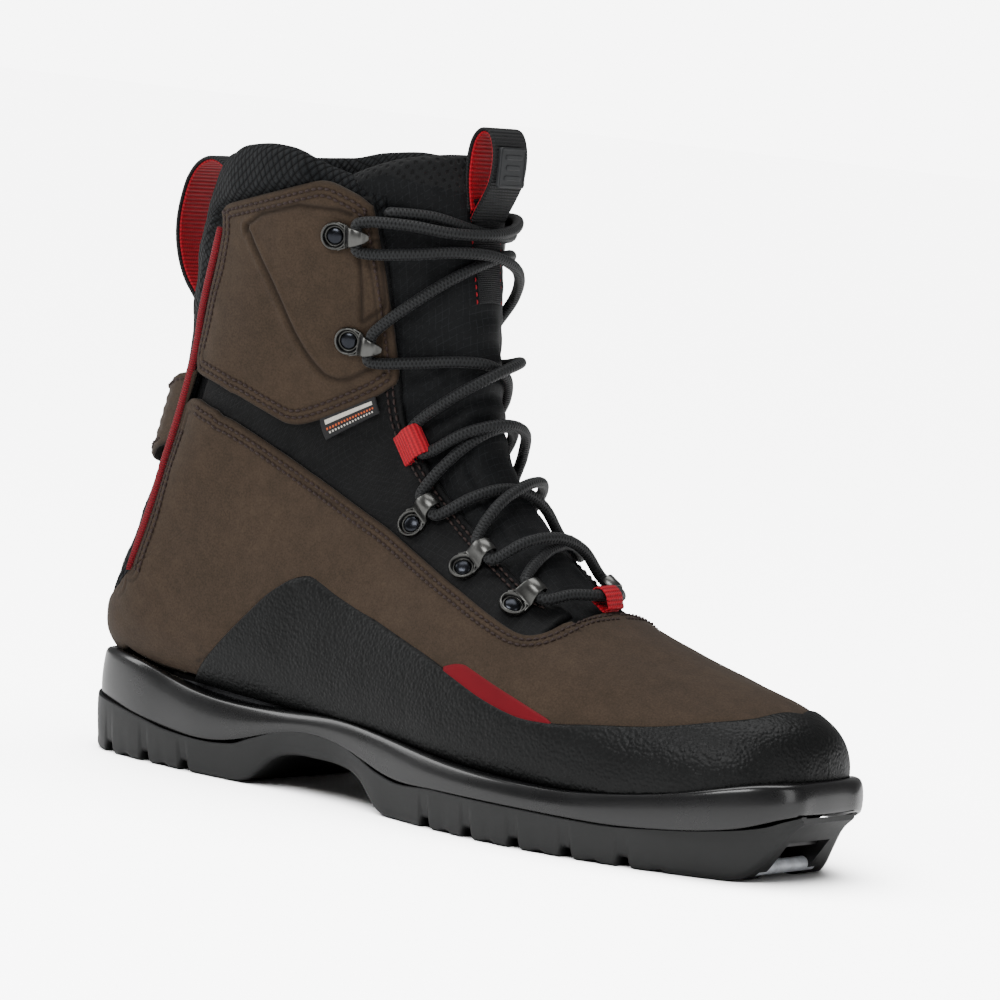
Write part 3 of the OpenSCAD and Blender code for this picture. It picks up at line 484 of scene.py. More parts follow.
def moulded(name, c, rough=.35, coat=.3, grain=500, depth=.00003, lo=None, hi=None, spec=.5):
    m = Mat(name, srgb(*c), rough, coat=coat, coat_rough=.12, spec=spec)
    n = m.noise(grain, 3, .6)
    m.bump(n, depth, .5)
    m.bump(m.noise(34, 2, .5), .0005, .18)
    m.rough(m.noise(45, 5, .65), lo if lo is not None else rough * .75, hi if hi is not None else rough * 1.35)
    k = srgb(*c)[:3]
    m.base(m.ramp(m.noise(22, 5, .6), [(.3, tuple(v * .85 for v in k)), (.75, tuple(v * 1.25 for v in k))]))
    return m.m


def ripstop(name="ripstop", c=(9, 10, 11), grid=2.4):
    m = Mat(name, srgb(*c), .66, spec=.16, sheen=.02)
    x, y, _ = m.sep(m.attr("skin"))
    # fine plain weave, 0.55 mm
    wx = m.math("SINE", m.math("MULTIPLY", x, 2 * math.pi / .62))
    wy = m.math("SINE", m.math("MULTIPLY", y, 2 * math.pi / .62))
    weave = m.math("MULTIPLY", wx, wy)
    # reinforcement threads
    gx = m.math("GREATER_THAN", m.math("SINE", m.math("MULTIPLY", x, 2 * math.pi / grid)), .955)
    gy = m.math("GREATER_THAN", m.math("SINE", m.math("MULTIPLY", y, 2 * math.pi / grid)), .955)
    g = m.math("MAXIMUM", gx, gy)
    h = m.math("ADD", m.math("MULTIPLY", weave, .35), g)
    m.bump(h, .00012, .7)
    m.bump(m.noise(90, 3, .5), .0012, .25)
    k = srgb(*c)[:3]
    broken = m.math("GREATER_THAN", m.noise(520, 2, .5), .47)
    fac = m.math("MULTIPLY", m.math("MULTIPLY", g, broken), .42)
    # painted shade and highlight in the fine weave: darker in its hollows, lighter on its crests
    base = m.ramp(weave, [(.0, tuple(v * .55 for v in k)), (1.0, tuple(v * 1.25 for v in k))])
    m.base(m.mix(fac, base, tuple(v * 3.0 + .008 for v in k)))
    m.rough(weave, .5, .75)
    return m.m


def knit(name, c=(20, 22, 24), px=4.4, py=3.1, depth=.0013, hole_shade=.4):
    """Spacer mesh: staggered diamond cells."""
    m = Mat(name, srgb(*c), .75, spec=.16, sheen=.02)
    x, y, _ = m.sep(m.attr("skin"))
    a = m.math("ADD", m.math("MULTIPLY", x, math.pi / px), m.math("MULTIPLY", y, math.pi / py))
    b = m.math("SUBTRACT", m.math("MULTIPLY", x, math.pi / px), m.math("MULTIPLY", y, math.pi / py))
    q = m.math("MULTIPLY", m.math("ABSOLUTE", m.math("SINE", a)), m.math("ABSOLUTE", m.math("SINE", b)))
    r = m.math("POWER", q, .5)
    fine = m.math("SINE", m.math("MULTIPLY", m.math("ADD", x, m.math("MULTIPLY", y, .6)), 2 * math.pi / .55))
    h = m.math("ADD", m.math("MULTIPLY", r, 1.0), m.math("MULTIPLY", fine, .10))
    m.bump(h, depth, .9)
    k = srgb(*c)[:3]
    # painted shade and highlight: the colour follows the cell relief, near black in the holes and lighter on the cell
    # tops
    m.base(m.ramp(r, [(.05, tuple(v * .1 for v in k)), (hole_shade, tuple(v * .5 for v in k)), (.9, tuple(v * 1.5 for v in k))]))
    m.rough(r, .85, .55)
    return m.m


def perforated(name="tongue_perf", c=(16, 17, 18)):
    m = Mat(name, srgb(*c), .75, spec=.25, sheen=.04)
    x, y, _ = m.sep(m.attr("skin"))
    def cell(v, p, ph=0.0):
        return m.math("SUBTRACT", m.math("FRACT", m.math("ADD", m.math("DIVIDE", v, p), ph)), .5)
    row = m.math("MULTIPLY", m.math("FLOOR", m.math("DIVIDE", x, 2.6)), .5)
    cx = cell(x, 2.6)
    cy = m.math("SUBTRACT", m.math("FRACT", m.math("ADD", m.math("DIVIDE", y, 3.2), row)), .5)
    d = m.math("SQRT", m.math("ADD", m.math("POWER", m.math("MULTIPLY", cx, 2.6), 2.0), m.math("POWER", m.math("MULTIPLY", cy, 3.2), 2.0)))
    hole_shade = m.math("LESS_THAN", d, .62)
    soft = m.math("DIVIDE", m.math("SUBTRACT", d, .4), .6, clamp=True)
    m.bump(soft, .0006, .9)
    m.bump(m.noise(900, 2, .6), .00008, .6)
    k = srgb(*c)[:3]
    # painted shade: the perforations are coloured near black, standing in for the shade inside the holes
    m.base(m.mix(hole_shade, tuple(k), tuple(v * .12 for v in k)))
    return m.m


def webbing(name, c, pitch=1.15, cross=.9, crest_highlight=1.25, rough=.6):
    m = Mat(name, srgb(*c), rough, spec=.3, sheen=.03)
    x, y, _ = m.sep(m.attr("skin"))
    a = m.math("SINE", m.math("MULTIPLY", x, 2 * math.pi / pitch))
    b = m.math("SINE", m.math("ADD", m.math("MULTIPLY", y, 2 * math.pi / cross), m.math("MULTIPLY", a, 1.2)))
    h = m.math("ADD", m.math("MULTIPLY", a, .8), m.math("MULTIPLY", b, .25))
    m.bump(h, .00022, .8)
    k = srgb(*c)[:3]
    # painted shade and highlight: the colour follows the relief, darker in the grooves, lighter on the ribs
    m.base(m.ramp(m.math("MULTIPLY_ADD", h, .5, .5), [(.0, tuple(v * .5 for v in k)), (1.0, tuple(v * crest_highlight for v in k))]))
    return m.m


def braid(name="lace_braid", c=(17, 18, 19)):
    m = Mat(name, srgb(*c), .6, spec=.3, sheen=.04)
    s, a, _ = m.sep(m.attr("cord"))
    ph = m.math("MULTIPLY", s, 2 * math.pi / 1.35)
    p1 = m.math("SINE", m.math("ADD", ph, m.math("MULTIPLY", a, 4.0)))
    p2 = m.math("SINE", m.math("SUBTRACT", ph, m.math("MULTIPLY", a, 4.0)))
    mx = m.math("MAXIMUM", p1, p2)
    h = m.math("MULTIPLY_ADD", mx, .5, .5)
    m.bump(h, .00028, .8)
    k = srgb(*c)[:3]
    # painted shade and highlight: darker between the strands, lighter on their crests
    m.base(m.ramp(h, [(.2, tuple(v * .3 for v in k)), (.85, tuple(v * 2.0 for v in k))]))
    m.rough(h, .8, .45)
    return m.m


def metal(name, c, rough=.32, wear=.5):
    m = Mat(name, srgb(*c), rough, metal=1.0)
    g = m.n("ShaderNodeNewGeometry")
    p = m.ramp(g.outputs["Pointiness"], [(.47, 0.0), (.56, 1.0)])
    k = srgb(*c)[:3]
    n = m.noise(300, 4, .65)
    base = m.ramp(n, [(.3, tuple(v * .7 for v in k)), (.7, tuple(v * 1.15 for v in k))])
    m.base(m.mix(m.math("MULTIPLY", p, wear), base, tuple(min(1, v * 2.6 + .05) for v in k)))
    m.bump(m.noise(900, 3, .6), .00003, .5)
    m.rough(n, rough * .7, rough * 1.4)
    return m.m


def plain(name, c, rough=.7, grain=800, depth=.0001, metal_=0.0):
    m = Mat(name, srgb(*c), rough, metal=metal_)
    n = m.noise(grain, 3, .6)
    k = srgb(*c)[:3]
    m.base(m.ramp(n, [(.3, tuple(v * .75 for v in k)), (.75, tuple(min(1, v * 1.2) for v in k))]))
    m.bump(n, depth, .5)
    return m.m


MT = dict(
    nubuck=nubuck(), rand=rubber_pebble(),
    frame=moulded("frame_plastic", (12, 12, 13), .32, .35, 260, .00002, .2, .38),
    outsole=moulded("outsole_rubber", (14, 15, 15), .5, .0, 700, .00006, .36, .58),
    insert=moulded("toe_insert", (16, 16, 17), .45, .1),
    red_film=moulded("accent_film", (108, 1, 17), .55, .0, 900, .00003, spec=.2),
    ripstop=ripstop(), ripstop2=ripstop("tongue_ripstop", (15, 17, 19), 2.6),
    mesh=knit("collar_knit"), lining=knit("lining_knit", (20, 21, 23), 1.8, 1.4, .0003, .3),
    perf=perforated(),
    web_black=webbing("webbing_black", (15, 16, 18)), web_red=webbing("webbing_red", (182, 4, 30), 1.5, 1.0, 1.15),
    piping=webbing("piping_cord", (128, 2, 22), .9, .7, 1.25),
    lace=braid(), hook=metal("antique_nickel", (70, 70, 68), .3, .4), rivet=metal("dark_rivet", (40, 42, 47), .24, .2),
    # toe bar: silvery metal, made pale and mostly non-metallic as a painted reflection of the bright white surroundings
    zinc=plain("zinc_bar_painted_reflection", (214, 218, 224), .38, 300, .00003, .25), steel=metal("spring_steel", (150, 152, 156), .35, .2),
    thread=plain("thread_brown", (44, 27, 23), .7, 3000), thread_red=plain("thread_red", (160, 10, 28), .7, 3000),
    thread_black=plain("thread_black", (12, 12, 14), .7, 3000),
    patch=moulded("patch_rubber", (30, 32, 34), .5, .05, 900, .00004),
    label=plain("label_weave", (24, 24, 26), .8, 2500, .0001), label_w=plain("label_light", (205, 200, 190), .8, 2500, .0001),
    label_o=plain("label_orange", (214, 92, 34), .8, 2500, .0001),
    # insole board coloured dark grey as painted shade, so the strip of it seen in the gap under the frame lip reads as
    # shadow
    board=plain("board_fibre", (34, 32, 30), .85, 400), foam=plain("foam_core", (224, 218, 190), .95, 1200, .0004),
    stiff=plain("stiffener_sheet", (176, 170, 152), .6, 300), midsole=plain("midsole_foam", (62, 63, 66), .85, 900, .0002),
    footbed=plain("footbed_felt", (58, 61, 66), .95, 1500, .0003), aglet=moulded("aglet_tip", (40, 40, 42), .25, .5))
BLEND = dict(start=tuple(M([62, 0, 100])), end=tuple(M([62, 0, 148])))


def bends(ob):
    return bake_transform(ob)


def linear(a, b, n):
    return np.linspace(a, b, n)


def mirrored(th_half):
    """Columns 0..J of half angles -> -J..J."""
    return np.concatenate([-th_half[:, :0:-1], th_half], 1)


STITCH = {"brown": [], "red": [], "black": []}
EMB = []


def stitches(kind, path, skin, inset=0.0, side=1.0, pitch=2.7, length=2.0, r=.46, skip=0, sink=-.12, lift=None, off=0.0):
    """Threads along a border path [(u, th)...], moved inset mm to one side on the skin of a sheet."""
    uv = A(path, float)
    N = NO(uv[:, 0], uv[:, 1])
    P = S0(uv[:, 0], uv[:, 1]) + N * np.asarray(off, float).reshape(-1, 1)
    s = np.concatenate([[0], np.cumsum(np.linalg.norm(np.diff(P, axis=0), axis=1))])
    n = max(2, int(s[-1] / .5))
    q = np.linspace(0, s[-1], n)
    P = np.stack([np.interp(q, s, P[:, k]) for k in range(3)], 1)
    N = unit(np.stack([np.interp(q, s, N[:, k]) for k in range(3)], 1))
    for _ in range(4):
        P[1:-1] = .25 * P[:-2] + .5 * P[1:-1] + .25 * P[2:]
    T = unit(np.gradient(P, axis=0))
    P = P + np.cross(N, T) * inset * side
    kd = skin["kd"]
    s = np.concatenate([[0], np.cumsum(np.linalg.norm(np.diff(P, axis=0), axis=1))])
    k = int((s[-1] - skip) / pitch)
    for i in range(k):
        a, b = skip + i * pitch, skip + i * pitch + length
        pts = []
        for d in (a, (a + b) / 2, b):
            p = A([np.interp(d, s, P[:, c]) for c in range(3)])
            _, j, _ = kd.find(p)
            nn = skin["N"][j]
            pts.append(p + nn * ((skin["P"][j] - p) @ nn))
        STITCH[kind].append((pts, nn, r, sink))


def with_kd(sk):
    P = sk["P"]
    kd = KDTree(len(P))
    for i, p in enumerate(P):
        kd.insert(p, i)
    kd.balance()
    sk["kd"] = kd
    return sk


def make_stitches(kind, name, mat):
    V, F = [], []
    prof = [(-1.0, .35), (-.72, .85), (0.0, 1.05), (.72, .85), (1.0, .35)]
    for pts, nn, r, sink in STITCH[kind]:
        a, m, b = pts
        t = unit(b - a)
        y = unit(np.cross(nn, t))
        L = np.linalg.norm(b - a) / 2
        base = len(V)
        for f, w in prof:
            c = m + t * L * f + ((a + b) / 2 - m) * f * f + nn * (r * .55 * (1 - f * f) - sink - r * .35 * abs(f) ** 3)
            for q in range(6):
                an = q * math.pi / 3
                V.append(c + r * w * (y * math.cos(an) + nn * math.sin(an)))
        for i in range(4):
            for q in range(6):
                F.append((base + i * 6 + q, base + i * 6 + (q + 1) % 6, base + i * 6 + 6 + (q + 1) % 6, base + i * 6 + 6 + q))
        F.append(tuple(base + q for q in range(5, -1, -1)))
        F.append(tuple(base + 24 + q for q in range(6)))
    if not V:
        return None
    ob = new_obj(name, A(V), F, mat)
    return ob


# ------------------------------------------------------------------ upper
def grooves(d, rows, depth=.16, w=.55):
    g = 0
    for r in rows:
        g = g - depth * np.exp(-((d - r) / w) ** 2)
    return g


def build_lower():
    U = np.concatenate([linear(3.0, 8.5, 84)[:-1], linear(8.5, 9.2, 14)[:-1], linear(9.2, 17.2, 108)[:-1], linear(17.2, 20.95, 56)])
    J0, J1, J2 = 22, 74, 36
    a = np.where(U < 13.5, np.maximum(44, np.minimum(rand_top(U) - 9, 150)), np.interp(U, [13.5, 14.1, 15.5, 17.25, 17.4], [94, 46, 44, 60, 68]))
    a = np.where(U > 17.3, pipe_th(U) + 1.2, a)
    b = np.maximum(low_top(U), a + .3)
    c0 = np.linspace(0, 1, J0 + 1)[None, :] * a[:, None]
    c1 = a[:, None] + (b - a)[:, None] * (np.linspace(0, 1, J1 + 1)[1:] ** .92)[None, :]
    c2 = b[:, None] + (180 - b)[:, None] * np.linspace(0, 1, J2 + 1)[None, 1:]
    H = np.concatenate([c0, c1, c2], 1)
    J = H.shape[1] - 1
    TH = mirrored(H)[:, :-1]
    UU = np.repeat(U[:, None], TH.shape[1], 1)
    m = TH.shape[1]
    cols = np.arange(m)
    h = np.where(cols >= J, cols - J, J - 1 - cols)
    mask = np.ones((len(U) - 1, m), bool)
    Uc = U[:-1]
    mask &= ~((h[None, :] < J0) & ((Uc < 15.5) | (Uc > 17.25))[:, None])
    mask &= ~((h[None, :] >= J0 + J1) & (Uc > 8.68)[:, None])

    def disp(P, d, u, th):
        top = (np.abs(th) > 60) | (u > 17.3)
        v = lumps(P, 46, 1) * .28 + lumps(P, 17, 2) * .07
        v = v * np.clip(d / 6, 0, 1)
        vis = top & (u > 8.0)
        v = v + np.where(vis, grooves(d, (2.6, 5.0), .2) + .22 * np.exp(-((d - 3.8) / 1.1) ** 2), 0)
        e = np.where(vis, .65 * np.maximum(np.exp(-((d - 2.6) / .42) ** 2), np.exp(-((d - 5.0) / .42) ** 2)), 0)
        EMB.append(np.concatenate([e, e]))
        # wide, soft pinch at the ankle
        v = v - .5 * np.exp(-((u - 18.2) / 1.2) ** 2) * np.clip((np.abs(th) - 60) / 30, 0, 1) * np.clip(d / 6, 0, 1)
        return v
    rise = .12 + .45 * np.clip((np.abs(TH) - 60) / 12, 0, 1)
    ob, sk = sheet("v_lower_leather", UU, TH, mask, rise, 2.2, MT["nubuck"], edge=.9, disp=disp, closed=True)
    ob.data.attributes.new("emb", "FLOAT", "POINT").data.foreach_set("value", EMB.pop().astype(np.float32))
    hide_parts("lower_leather")
    sk = with_kd(sk)
    for sg in (1, -1):
        top = [(u, sg * float(low_top(u))) for u in linear(20.75, 9.2, 240)]
        top += [(u, sg * t) for u, t in ((8.998, 139), (8.881, 144.6), (8.834, 150), (8.796, 156), (8.76, 163), (8.72, 170), (8.69, 180))]
        for ins in (2.6, 5.0):
            stitches("brown", top, sk, ins, side=-sg, pitch=2.5, length=2.0)
        back = [(u, sg * (float(pipe_th(u)) + 1.2)) for u in linear(17.3, 20.6, 60)]
        for ins in (2.6, 4.8):
            stitches("brown", back, sk, ins, side=-sg, pitch=2.5, length=2.0)
    return ob


def build_rand():
    U = np.concatenate([[0, .06, .14, .24, .36, .5], linear(.62, 4.6, 62), linear(4.68, 13.6, 112)[0:], linear(13.66, 14.14, 14)])
    J1, J2 = 46, 30
    a = np.full(len(U), 40.0)
    b = np.minimum(rand_top(U), 179.5)
    b = np.maximum(b, a + 3)
    c1 = a[:, None] + (b - a)[:, None] * np.linspace(0, 1, J1 + 1)[None, :]
    c2 = b[:, None] + (180 - b)[:, None] * np.linspace(0, 1, J2 + 1)[None, 1:]
    H = np.concatenate([c1, c2], 1)
    TH = np.concatenate([H, 360 - H[:, -2::-1]], 1)
    UU = np.repeat(U[:, None], TH.shape[1], 1)
    m = TH.shape[1]
    J = (m - 1) // 2
    cols = np.arange(m - 1)
    h = np.where(cols < J, cols, m - 2 - cols)
    mask = np.ones((len(U) - 1, m - 1), bool)
    # above its top edge the rand is only there over the toe
    edge_u = 3.75
    mask &= ~((h[None, :] >= J1) & (U[:-1] > edge_u)[:, None])

    def disp(P, d, u, th):
        return lumps(P, 40, 3) * .18 * np.clip(d / 6, 0, 1)
    ob, sk = sheet("v_rand", UU, TH, mask, 1.55, 1.35, MT["rand"], edge=1.15, disp=disp,
                   keep_edge=lambda u, th: np.clip((u - .5) / .5, 0, 1))
    # close the small gap at the very tip
    tip = S(0, np.linspace(40, 320, 24), 1.4)
    V = np.concatenate([tip, [tip.mean(0) + A([.3, 0, 0])]])
    cap = new_obj("v_rand_tip", V, [(i, i + 1, 24) for i in range(23)] + [(23, 0, 24)], MT["rand"])
    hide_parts("rubber_rand")
    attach(ob, "foot"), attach(cap, "foot")


def build_accent():
    top = cur([[7.93,101.2],[8.05,102.6],[8.25,103.6],[8.85,106.2],[9.45,106.9],[9.9,106.4],[10.12,104.3],[10.34,100.4]])
    for sg, nm in ((1, "lateral"), (-1, "medial")):
        U = linear(7.93, 10.34, 50)
        a, b = rand_top(U) - 3, top(U)
        TH = sg * (a[:, None] + (b - a)[:, None] * np.linspace(0, 1, 14)[None, :])
        UU = np.repeat(U[:, None], 14, 1)
        ob, sk = sheet("v_accent_" + nm, UU, TH, None, .95 if sg > 0 else 1.5, 1.0, MT["red_film"], edge=.6)
        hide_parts("accent_" + nm)
        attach(ob, "foot")


def build_shell():
    out = []
    for sg, nm in ((1, "lateral"), (-1, "medial")):
        U = np.concatenate([linear(8.95, 9.9, 16)[:-1], linear(9.9, 24.15, 170)])
        a = np.where(U < 17.35, low_top(U) - 9, 68.5 - np.clip((U - 17.35) * 0, 0, 1))
        a = np.where((U > 17.2) & (U < 17.9), np.interp(U, [17.2, 17.9], [106, 68.5]), a)
        b = front(U) - .3
        TH = sg * (a[:, None] + (b - a)[:, None] * (np.linspace(0, 1, 64)[None, :] ** .85))
        UU = np.repeat(U[:, None], 64, 1)

        def disp(P, d, u, th):
            t = np.abs(th)
            f = front(u) - t
            v = lumps(P, 30, 4) * .3 + lumps(P * A([1, 1, 2.2]), 16, 1) * .16
            v = v * np.clip(d / 7, 0, 1) * np.clip((t - np.where(u < 17.4, low_top(u), 60) - 2) / 8, .15, 1)
            # ankle creases slanting forward
            c = np.exp(-((u - 16.8) / 2.2) ** 2) * np.clip(f / 18, 0, 1) * np.clip((t - np.interp(u, _LTU, _LTV) - 5) / 10, 0, 1)
            v = v + c * .4 * np.sin((P[:, 2] * .9 - P[:, 0] * .25) / 5.2 + 1.0)
            # folded and stitched front edge
            v = v + .5 * np.exp(-((d - 1.6) / 1.6) ** 2) * (f < 12) + np.where(f < 14, grooves(d, (3.0, 5.2), .2), 0)
            return v
        ob, sk = sheet("v_shell_" + nm, UU, TH, None, -1.5, 1.6, MT["ripstop"], edge=1.0, disp=disp)
        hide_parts("shaft_shell_" + nm)
        sk = with_kd(sk)
        fr = [(u, sg * float(front(u) - .3)) for u in linear(18.6, 9.4, 140)]
        for ins in (3.0, 5.2):
            stitches("brown", fr, sk, ins, side=-sg, pitch=2.8, length=2.2, r=.42)
        out.append(sk)
        bends(ob)
    return out


EMB1 = [(23.86,80.8),(24.05,87),(24.12,101.7),(23.81,117.1),(23.61,121.6)]
EMB0 = [(23.86,80.8),(23.71,81.3)]
EMB2 = [(23.71,81.3),(23.02,89.6),(19.56,119.3),(19.19,123.7),(19.01,127.7),(19.06,136.7)]


def polyline(uv, n=220):
    uv = A(uv, float)
    P = S0(uv[:, 0], uv[:, 1])
    s = np.concatenate([[0], np.cumsum(np.linalg.norm(np.diff(P, axis=0), axis=1))])
    q = np.linspace(0, s[-1], n)
    uu, tt = np.interp(q, s, uv[:, 0]), np.interp(q, s, uv[:, 1])
    for _ in range(10):
        uu[1:-1] = (uu[:-2] + uu[1:-1] * 2 + uu[2:]) / 4
        tt[1:-1] = (tt[:-2] + tt[1:-1] * 2 + tt[2:]) / 4
    return uu, tt


def build_cuff():
    n, m = 112, 116
    top = A([[24.43,59.6],[24.45,68.8],[24.468,75],[24.491,80.5],[24.519,85.3],[24.55,89.6],[24.585,93.2],[24.624,96.9],[24.666,100.7],[24.713,104.4],[24.75,108.1],[24.7,112],[24.567,115.7],[24.404,119.2],[24.236,122.7],[24.063,126.1],[23.886,129.4]])
    frn = A([[17.85,142.3],[18.36,141.6],[18.962,140.5],[19.555,139.2],[20.106,137.9],[20.615,136.7],[21.104,135.5],[21.575,134.4],[22.033,133.2],[22.476,132.2],[22.922,131.3],[23.392,130.4],[23.886,129.4]])
    bot = A([[21.5,58.6],[21.363,64.1],[21.066,74.5],[20.774,83],[20.479,90.2],[20.17,94.8],[19.845,99.2],[19.499,103.6],[19.13,107.8],[18.74,111.7],[18.45,115.5],[18.3,118.7],[18.19,121.6],[18.1,124.6],[18.03,127.6],[17.97,130.6],[17.92,133.7],[17.88,138],[17.85,142.3]])
    bak = A([[21.5,58.6],[21.712,57.6],[21.951,57.2],[22.177,57.8],[22.392,58.8],[22.606,60],[22.827,61.4],[23.061,62.8],[23.307,64],[23.562,65],[23.83,65.4],[24.121,63.6],[24.43,59.6]])

    def along(C, k):
        P = S0(C[:, 0], C[:, 1])
        d = np.concatenate([[0], np.cumsum(np.linalg.norm(np.diff(P, axis=0), axis=1))])
        q = np.linspace(0, d[-1], k)
        o = np.stack([np.interp(q, d, C[:, 0]), np.interp(q, d, C[:, 1])], 1)
        e = o.copy()
        for _ in range(6):
            o[1:-1] = .25 * o[:-2] + .5 * o[1:-1] + .25 * o[2:]
        return o
    for sg, nm in ((1, "lateral"), (-1, "medial")):
        B, T_, L_, R_ = along(bot, m), along(top, m), along(bak, n), along(frn, n)
        t = linear(0, 1, n)[:, None, None]
        s = linear(0, 1, m)[None, :, None]
        Q = (1 - t) * B[None] + t * T_[None] + (1 - s) * L_[:, None] + s * R_[:, None]
        Q = Q - ((1 - t) * (1 - s) * B[0] + (1 - t) * s * B[-1] + t * (1 - s) * T_[0] + t * s * T_[-1])
        U, TH = Q[..., 0], Q[..., 1]

        def corner(cu, ct, r):
            return np.exp(-(((U - cu) * 8.6) ** 2 + ((TH - ct) * .62) ** 2) / r ** 2)
        U = U - .13 * corner(24.43, 59.6, 2.0) + .12 * corner(17.85, 142.3, 2.4) - .10 * corner(23.886, 129.4, 2.6) + .1 * corner(21.5, 58.6, 2.0)
        TH = TH + 1.4 * corner(24.43, 59.6, 2.0) - 1.6 * corner(17.85, 142.3, 2.4) + 1.2 * corner(21.5, 58.6, 2.0)
        lines = []
        for L in (EMB1 , EMB0[::-1] + EMB2[1:]):
            uu, tt = polyline(L)
            lines.append(S0(uu, tt))
        pock = polyline([(22.6,124.2),(22.75,131.2),(20.75,134.8),(20.6,127.6),(22.6,124.2)])
        lines2 = S0(*pock)

        def disp(P, d, u, th):
            v = lumps(P, 34, 5) * .22 * np.clip(d / 6, 0, 1)
            v = v + grooves(d, (2.6, 5.0), .2) + .22 * np.exp(-((d - 3.8) / 1.1) ** 2)
            Q = S0(u, np.abs(th))
            emb = np.zeros(len(P))
            for L, depth, w in ((lines[0], .9, .7), (lines[1], .9, .7), (lines2, .8, .65)):
                kd = KDTree(len(L))
                for i, p in enumerate(L):
                    kd.insert(p, i)
                kd.balance()
                e = A([kd.find(q)[2] for q in Q])
                v = v - depth * np.exp(-(e / w) ** 2) + depth * .35 * np.exp(-((e - 1.9) / .8) ** 2)
                emb = np.maximum(emb, np.exp(-(e / .62) ** 2) * .8)
            # thread channels
            for r0 in (2.6, 5.0):
                emb = np.maximum(emb, .65 * np.exp(-((d - r0) / .42) ** 2))
            EMB.append(np.concatenate([emb, emb]))
            return v
        ob, sk = sheet("v_cuff_" + nm, U, sg * TH, None, .75, 2.3, MT["nubuck"], edge=.9, disp=disp)
        ob.data.attributes.new("emb", "FLOAT", "POINT").data.foreach_set("value", EMB.pop().astype(np.float32))
        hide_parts("cuff_leather_" + nm)
        sk = with_kd(sk)
        # threads follow the grid's own border
        brd = [(U[0, j], sg * TH[0, j]) for j in range(0, m)]
        brt = [(U[-1, j], sg * TH[-1, j]) for j in range(0, m)]
        brb = [(U[i, 0], sg * TH[i, 0]) for i in range(0, n)]
        brf = [(U[i, -1], sg * TH[i, -1]) for i in range(0, n)]
        for ins in (2.6, 5.0):
            stitches("brown", brd, sk, ins, side=sg, pitch=2.5, length=2.0, skip=ins)
            stitches("brown", brt, sk, ins, side=-sg, pitch=2.5, length=2.0, skip=ins)
            stitches("brown", brb, sk, ins, side=-sg, pitch=2.5, length=2.0, skip=ins)
        stitches("brown", brf, sk, 3.2, side=sg, pitch=2.5, length=2.0, skip=3)
        bends(ob)


